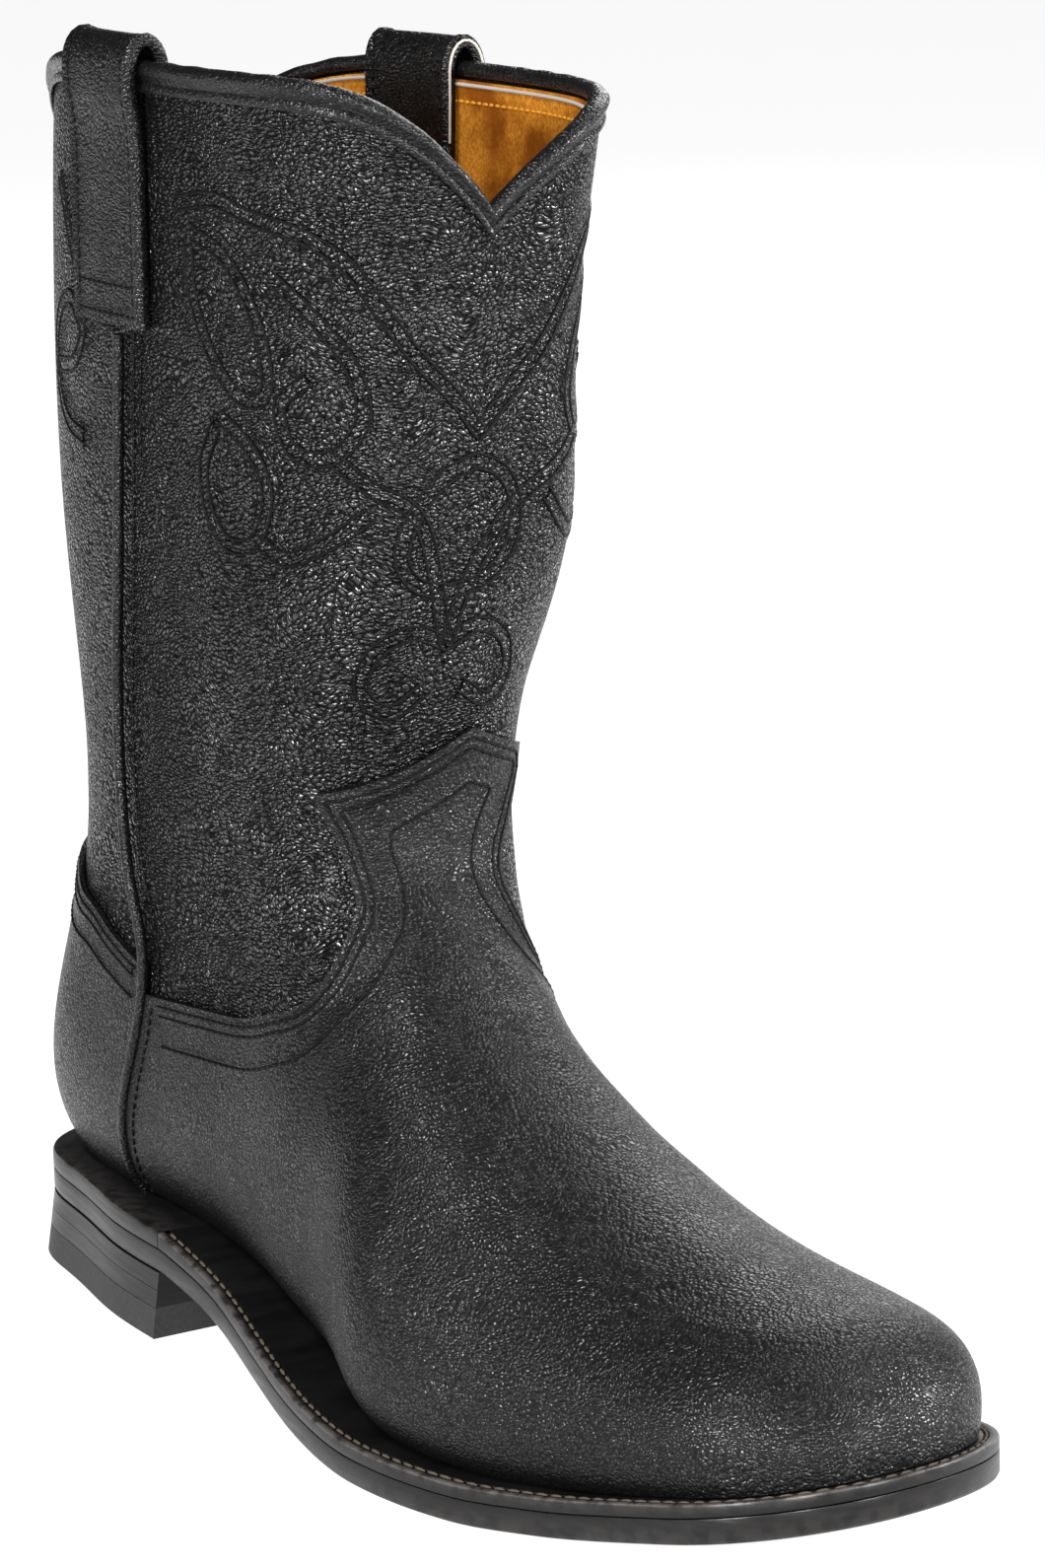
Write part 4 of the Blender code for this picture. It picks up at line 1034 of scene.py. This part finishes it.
bindingMesh = turnedOut(meshOf("binding", rings.reshape(-1, 3), faces))
bindingNode = ["collar_binding"]
addPiece("collar_bead_and_tape", bindingMesh, [trimLeather], bindingNode, sharp=50.0)
print("collar made")

# Pull straps: an outer leg, a loop over the bead and an inner leg
strap = {
    "width": 33 * mm, "thickness": 2.6 * mm, "rise": 6.5 * mm, "lip": 0.55 * mm, "lipWidth": 3.2 * mm,
    "edgeRound": 0.9 * mm, "rowInset": 3.4 * mm, "boxRows": (2.2 * mm, 8.5 * mm), "boxReach": 13 * mm,
    "cutEdge": 0.3 * mm,
}


# A place on a strap: along the side, out from the leather and up from the rim, then moved out and up
def strapPoint(spot, x, out, up, moreOut, moreUp):
    side, middle, rimHeight = spot
    place, normal = onSide(leatherTree, middle + x, rimHeight + min(up, -2 * mm), side)
    point = place + Vector((normal.x, normal.y, 0)).normalized() * (out + moreOut)
    point.z = rimHeight + up + moreUp
    return point


strapRows = {}
for side, peak, strapPlace, word in sides:
    spot = (side, strapPlace, seat + peak)
    length = piping["strapLength"]
    half = strap["thickness"] / 2
    legOut = clear + half
    beadOut = beadMiddle + binding["beadWidth"] / 2 + clear + half
    legIn = min(-(last["wall"] + clear + half), beadMiddle - binding["beadWidth"] / 2 - clear - half)
    line = [(legOut, -length), (legOut, -length / 2), (legOut, -10 * mm), (beadOut, -4 * mm), (beadOut, 0.0)]
    for turn in np.radians(np.linspace(0, 180, 9)):
        out = (beadOut + legIn) / 2 + (beadOut - legIn) / 2 * math.cos(turn)
        line.append((out, binding["beadHeight"] / 2 + strap["rise"] * math.sin(turn)))
    line = np.array(line + [(legIn, 0.0), (legIn, -length / 2), (legIn, -length)])
    run = lengthAlong(line)
    line = bSpline(line, np.interp(np.linspace(0, run[-1], 90), run, np.arange(len(line))))
    tangent = np.gradient(line, axis=0)
    tangent /= np.linalg.norm(tangent, axis=1)[:, None]
    away = np.column_stack([tangent[:, 1], -tangent[:, 0]])
    across = np.sin(np.linspace(-math.pi / 2, math.pi / 2, 25)) * strap["width"] / 2
    edgeNear = np.clip((strap["width"] / 2 - np.abs(across)) / strap["lipWidth"], 0, 1)
    lip = strap["lip"] * np.sin(np.clip(edgeNear * math.pi, 0, math.pi)) ** 2
    lip -= strap["edgeRound"] * (1 - np.sqrt(np.clip(edgeNear * 3, 0, 1)))
    walls = []
    for sign in (1, -1):
        for x, more in zip(across, lip):
            reach = sign * (half + (more if sign > 0 else min(more, 0)))
            walls.append([strapPoint(spot, x, *place, *(push * reach)) for place, push in zip(line, away)])
    loops = np.array(walls[:25] + walls[25:][::-1]).transpose(1, 0, 2)
    rows, columns = loops.shape[:2]
    faces = gridFaces(rows, columns).tolist()
    faces += [list(reversed(range(columns))), [(rows - 1) * columns + j for j in range(columns)]]
    mesh = turnedOut(meshOf("strap", loops.reshape(-1, 3), faces))
    addPiece(f"strap_{word}", mesh, [strapLeather], [f"pull_strap_{word}"])
    rows = []
    outerFace = list(zip(line[4:60], away[4:60] * half))
    for x in (-strap["width"] / 2 + strap["rowInset"], strap["width"] / 2 - strap["rowInset"]):
        rows.append([strapPoint(spot, x, *place, *push) for place, push in outerFace])
    for up in strap["boxRows"]:
        boxX = np.linspace(-strap["boxReach"], strap["boxReach"], 9)
        rows.append([strapPoint(spot, x, legOut, -length + up, half, 0) for x in boxX])
    strapRows[side] = rows
    edgeX = (-strap["width"] / 2) * (1 if side < 0 else -1)  # the cut edge shows pale on one side only
    pushes = away[:62] * half * 0.4
    cutEdge = [strapPoint(spot, edgeX, *place, *push) for place, push in zip(line[:62], pushes)]
    edgeName = f"strap_cut_edge_{word}"
    alongPaths("cord", edgeName, [cutEdge], paleEdge, "trim_leather", Radius=strap["cutEdge"])
print("straps made")

# Puckers: leather raised between and beside rows of stitches. Across and up in mm, back underneath at the end
doublePucker = [
    (-3.4, -0.05), (-2.6, 0.24), (-2.0, 0.16), (-1.5, 0.02), (-1.0, 0.24), (0.0, 0.36), (1.0, 0.24),
    (1.5, 0.02), (2.0, 0.16), (2.6, 0.24), (3.4, -0.05), (1.5, -0.4), (-1.5, -0.4),
]
narrowPucker = [
    (-2.3, -0.05), (-1.8, 0.14), (-1.1, 0.02), (-0.6, 0.16), (0.0, 0.2), (0.6, 0.16), (1.1, 0.02),
    (1.8, 0.14), (2.3, -0.05), (1.0, -0.3), (-1.0, -0.3),
]
singlePucker = [(-1.5, -0.05), (-0.9, 0.15), (0.0, 0.0), (0.9, 0.15), (1.5, -0.05), (0.7, -0.3), (-0.7, -0.3)]


def puckered(name, paths, tree, material, profile):
    points, faces = [], []
    for path in paths:
        path = evenly(path, 1.0 * mm)
        start, rings, columns = len(points), len(path), len(profile)
        for point, along in zip(path, np.gradient(path, axis=0)):
            place, normal = nearestOn(tree, point)
            side = normal.cross(Vector(along)).normalized()
            for across, up in profile:
                points.append(tree.find_nearest(place + side * across * mm)[0] + normal * up * mm)
        faces += gridFaces(rings, columns, start).tolist()
        final = start + (rings - 1) * columns
        faces += [[start + j for j in reversed(range(columns))], [final + j for j in range(columns)]]
    addPiece(name, turnedOut(meshOf(name, points, faces)), [material], sharp=75.0)


# Scroll stitching on the shaft: mm round from the middle of the front and mm above the floor, and mirrored
scrolls = [
    [(84, 252), (70, 254), (56, 251), (42, 248), (31, 242), (23, 232), (15, 222), (7, 214), (0, 206)],
    [(76, 246), (66, 243), (57, 235), (51, 224), (50, 214), (58, 213), (67, 220), (75, 232), (78, 243)],
    [(48, 238), (38, 231), (29, 221), (26, 210), (32, 202), (42, 203), (46, 212), (39, 218)],
    [(32, 202), (23, 196), (12, 190), (5, 178), (0, 162)],
    [(0, 200), (7, 197), (12, 190), (13, 181), (8, 175), (0, 173)],
    [(64, 208), (54, 202), (48, 193), (50, 183), (59, 181), (67, 187), (70, 197), (66, 206)],
    [(50, 183), (40, 180), (30, 184), (22, 190)],
    [(0, 162), (8, 165), (16, 161), (18, 153), (12, 148), (5, 152)],
    [(148, 252), (140, 243), (132, 232), (128, 220), (135, 212), (146, 210)],
    [(128, 220), (136, 226), (145, 224), (151, 216), (149, 205), (140, 198), (128, 196)],
]
levels = np.linspace(0.14, 0.256, 18)
turns = np.linspace(0, 2 * math.pi, 721)
girths = []
for height in levels:
    ring = formPoints(stationsAt(turns, height), turns)
    girths.append(lengthAlong(ring))


def onShaft(route, mirror):  # round and up, in mm, to places on the leather
    line = throughPoints(route, 16 * len(route)) * mm
    line[:, 0] *= mirror
    angles = []
    for girth in girths:
        wrapped = np.interp(line[:, 0] % girth[-1], girth, turns)
        angles.append(np.where(line[:, 0] < 0, wrapped - 2 * math.pi, wrapped))
    angle = [np.interp(z, levels, [level[k] for level in angles]) for k, z in enumerate(line[:, 1])]
    return formPoints(stationsAt(np.array(angle), line[:, 1]), np.array(angle))


scrollPaths = [onShaft(route, mirror) for route in scrolls for mirror in (1, -1)]
puckered("scroll_puckers", scrollPaths, leatherTree, shaftLeather, doublePucker)

# Rows of stitches. The thread is drawn a little thicker than life, so that it shows
stitch = {"pitch": 2.6 * mm, "length": 2.1 * mm, "width": 0.85 * mm, "lift": 0.08 * mm}
# Distances of the rows from a panel's edge in mm, and the middle of the first two
rowPlaces = {"vamp": (1.9, 4.1, 11.0), "counter": (1.9, 4.1, 9.5), "pair": 3.0}
halves = [[onSide(overlayTree, x, z, side)[0] for x, z in spaced(vampTop, 400)] for side in (-1, 1)]
crown = []
for y in np.linspace(halves[0][-1].y + 0.6 * mm, halves[1][-1].y - 0.6 * mm, 90):
    crown.append(overlayTree.ray_cast(Vector((0.4, y, roofHeight(y))), Vector((-1, 0, 0)))[0])
vampPath = halves[0] + crown + halves[1][::-1]
counterPath = roundBoth(spaced(counterTop, 700), overlayTree)
stitches = {}
for name, path, sign in (("vamp", vampPath, 1), ("counter", counterPath, -1)):
    places = rowPlaces[name]
    stitches[name] = [rowBeside(path, overlayTree, sign * d * mm, stitch["lift"]) for d in places]
    pair = rowBeside(path, overlayTree, sign * rowPlaces["pair"] * mm, 0.0)
    single = rowBeside(path, overlayTree, sign * places[2] * mm, 0.0)
    puckered(f"{name}_pucker_pair", [pair], overlayTree, footLeather, narrowPucker)
    puckered(f"{name}_pucker_single", [single], overlayTree, footLeather, singlePucker)
# Rows beside the seam in mm: close behind it all the way, then behind and before it below the strap
seamRow = {"close": 4.4, "behind": 7.5, "before": 5.5, "belowStrap": 27 * mm}
stitches["seam"] = []
for side, peak, _, _ in sides:
    path = seamPaths[side]
    lower = [point for point in path if point.z < vampTop[0][1] - 1 * mm]
    upper = [point for point in path if point.z > vampTop[0][1] + 1 * mm]
    below = [point for point in path if point.z > seat + peak - piping["strapLength"] - seamRow["belowStrap"]]
    stitches["seam"].append(rowBeside(lower, overlayTree, -side * seamRow["close"] * mm, stitch["lift"]))
    for line, place in ((upper, -seamRow["close"]), (below, -seamRow["behind"]), (below, seamRow["before"])):
        stitches["seam"].append(rowBeside(line, leatherTree, side * place * mm, stitch["lift"]))
stitches["strap"] = strapRows[-1] + strapRows[1]
scrollRows = [rowBeside(path, leatherTree, d * mm, 0.1 * mm) for path in scrollPaths for d in (-1.5, 1.5)]
sizes = {"Pitch": stitch["pitch"], "Length": stitch["length"], "Width": stitch["width"], "Seed": 3}
alongPaths("stitches", "scroll_stitching", scrollRows, blackThread, "trim_leather", **sizes)
# The channel that each row is pulled down into, drawn as a dark line of painted shade under it
channelShadeRadius = {"scroll": 0.36 * mm, "panel": 0.3 * mm}
panelRows = stitches["vamp"] + stitches["counter"]
alongPaths("thin", "scroll_channel_shade", scrollRows, paintedChannelShade, "trim_leather", Radius=channelShadeRadius["scroll"])
alongPaths("thin", "panel_channel_shade", panelRows, paintedChannelShade, "trim_leather", Radius=channelShadeRadius["panel"])
for name, rows in stitches.items():
    alongPaths("stitches", f"{name}_stitching", rows, blackThread, "trim_leather", **sizes)
# Inside the collar: a golden row, and the raw edge of the lining above it, each down from the rim and proud
inner = {
    "rowDown": 4.6 * mm, "rowProud": 0.05 * mm, "edgeDown": 0.8 * mm, "edgeProud": 0.3 * mm,
    "edgeRadius": 0.45 * mm,
}
innerRow = rim + down * inner["rowDown"] - rimNormal * (last["wall"] + inner["rowProud"])
innerRow = np.vstack([innerRow, innerRow[:1]])
alongPaths("stitches", "lining_stitching", [innerRow], goldThread, "trim_leather", **sizes)
rawEdge = rim + down * inner["edgeDown"] - rimNormal * (last["wall"] + inner["edgeProud"])
rawEdge = np.vstack([rawEdge, rawEdge[:1]])
alongPaths("cord", "raw_lining_edge", [rawEdge], paleEdge, "lining_suede", Radius=inner["edgeRadius"])
weltRow = {"start": 3 * mm, "inset": 2.55 * mm, "sunk": 0.25 * mm}
x, y = spread((last["heelLength"] + weltRow["start"], whole[1]), 300, weltRow["inset"])
weltPath = np.column_stack([x, y, soleTop(x) - weltRow["sunk"]])
sizes = {"Pitch": 3.6 * mm, "Length": 3.0 * mm, "Width": 0.95 * mm, "Seed": 5}
alongPaths("stitches", "welt_stitching", [weltPath], weltThread, "sole_leather", **sizes)
print("stitches made")

# Floor, lights and camera
reach = 7.0
corners = [(-reach, -reach, 0), (reach, -reach, 0), (reach, reach, 0), (-reach, reach, 0)]
floorMesh = meshOf("studio_floor", corners, [(0, 1, 2, 3)])
floor = temporary(floorMesh)
paper, _, paperShader, _ = newMaterial("palePaper", "#6C6C6C", 0.9, Emission_Strength=0.92)
paperShader.inputs["Emission Color"].default_value = (1, 1, 1, 1)
floorMesh.materials.append(paper)


def towards(azimuth, elevation):  # degrees, where azimuth 0 stands on the outer side
    a, e = math.radians(azimuth), math.radians(elevation)
    return Vector((math.sin(a) * math.cos(e), -math.cos(a) * math.cos(e), math.sin(e)))


def softBox(name, azimuth, elevation, distance, size, power):
    back = towards(azimuth, elevation)
    light = bpy.data.lights.new(name, "AREA")
    light.shape = "RECTANGLE"
    light.size, light.size_y = size
    light.energy = power
    made = bpy.data.objects.new(name, light)
    made.location = Vector((0.07, 0, 0.12)) + back * distance
    made.rotation_euler = (-back).to_track_quat("-Z", "Y").to_euler()
    bpy.context.scene.collection.objects.link(made)


lamps = {
    "elevation": 14, "distance": 1.5, "size": (0.4, 0.3),
    "powers": {-30: 3, 15: 26, 60: 18, 105: 18, 150: 24},
}
for azimuth, power in lamps["powers"].items():  # a low half ring of small boxes, which the pebbles mirror
    softBox(f"box_{azimuth}", azimuth, lamps["elevation"], lamps["distance"], lamps["size"], power)
boxes = {  # azimuth, elevation, distance, size and power
    "top_box": (150, 58, 1.5, (0.8, 0.6), 10),
    "key_box": (8, 60, 1.5, (0.3, 0.3), 15),  # the broad sheen down the outer ridge of the vamp
    "back_box": (218, 27, 2.0, (1.2, 1.3), 17),  # the pale wall that the toe and the far edges mirror
}
for name, box in boxes.items():
    softBox(name, *box)
world = bpy.data.worlds.new("studio")
world.use_nodes = True
world.node_tree.nodes["Background"].inputs["Color"].default_value = (1, 1, 1, 1)
world.node_tree.nodes["Background"].inputs["Strength"].default_value = 0.05
bpy.context.scene.world = world
bpy.context.scene.view_settings.view_transform = "Standard"

view = {
    "azimuth": 58.881, "elevation": 12.884, "roll": -1.772, "distance": 1.1574,
    "target": (0.11207, 0.01662, 0.13013), "lens": 125.745,
}
azimuth, roll = math.radians(view["azimuth"]), math.radians(view["roll"])
back = towards(view["azimuth"], view["elevation"])
right = Vector((math.cos(azimuth), math.sin(azimuth), 0))
up = back.cross(right)
across = math.cos(roll) * right + math.sin(roll) * up
upward = -math.sin(roll) * right + math.cos(roll) * up
lens = bpy.data.cameras.new("camera")
lens.lens = view["lens"]
lens.sensor_width = 36.0
lens.clip_start, lens.clip_end = 0.05, 50.0
camera = bpy.data.objects.new("camera", lens)
bpy.context.scene.collection.objects.link(camera)
turned = Matrix((across, upward, back)).transposed().to_4x4()
camera.matrix_world = Matrix.Translation(Vector(view["target"]) + back * view["distance"]) @ turned
bpy.context.scene.camera = camera
print("stage set")
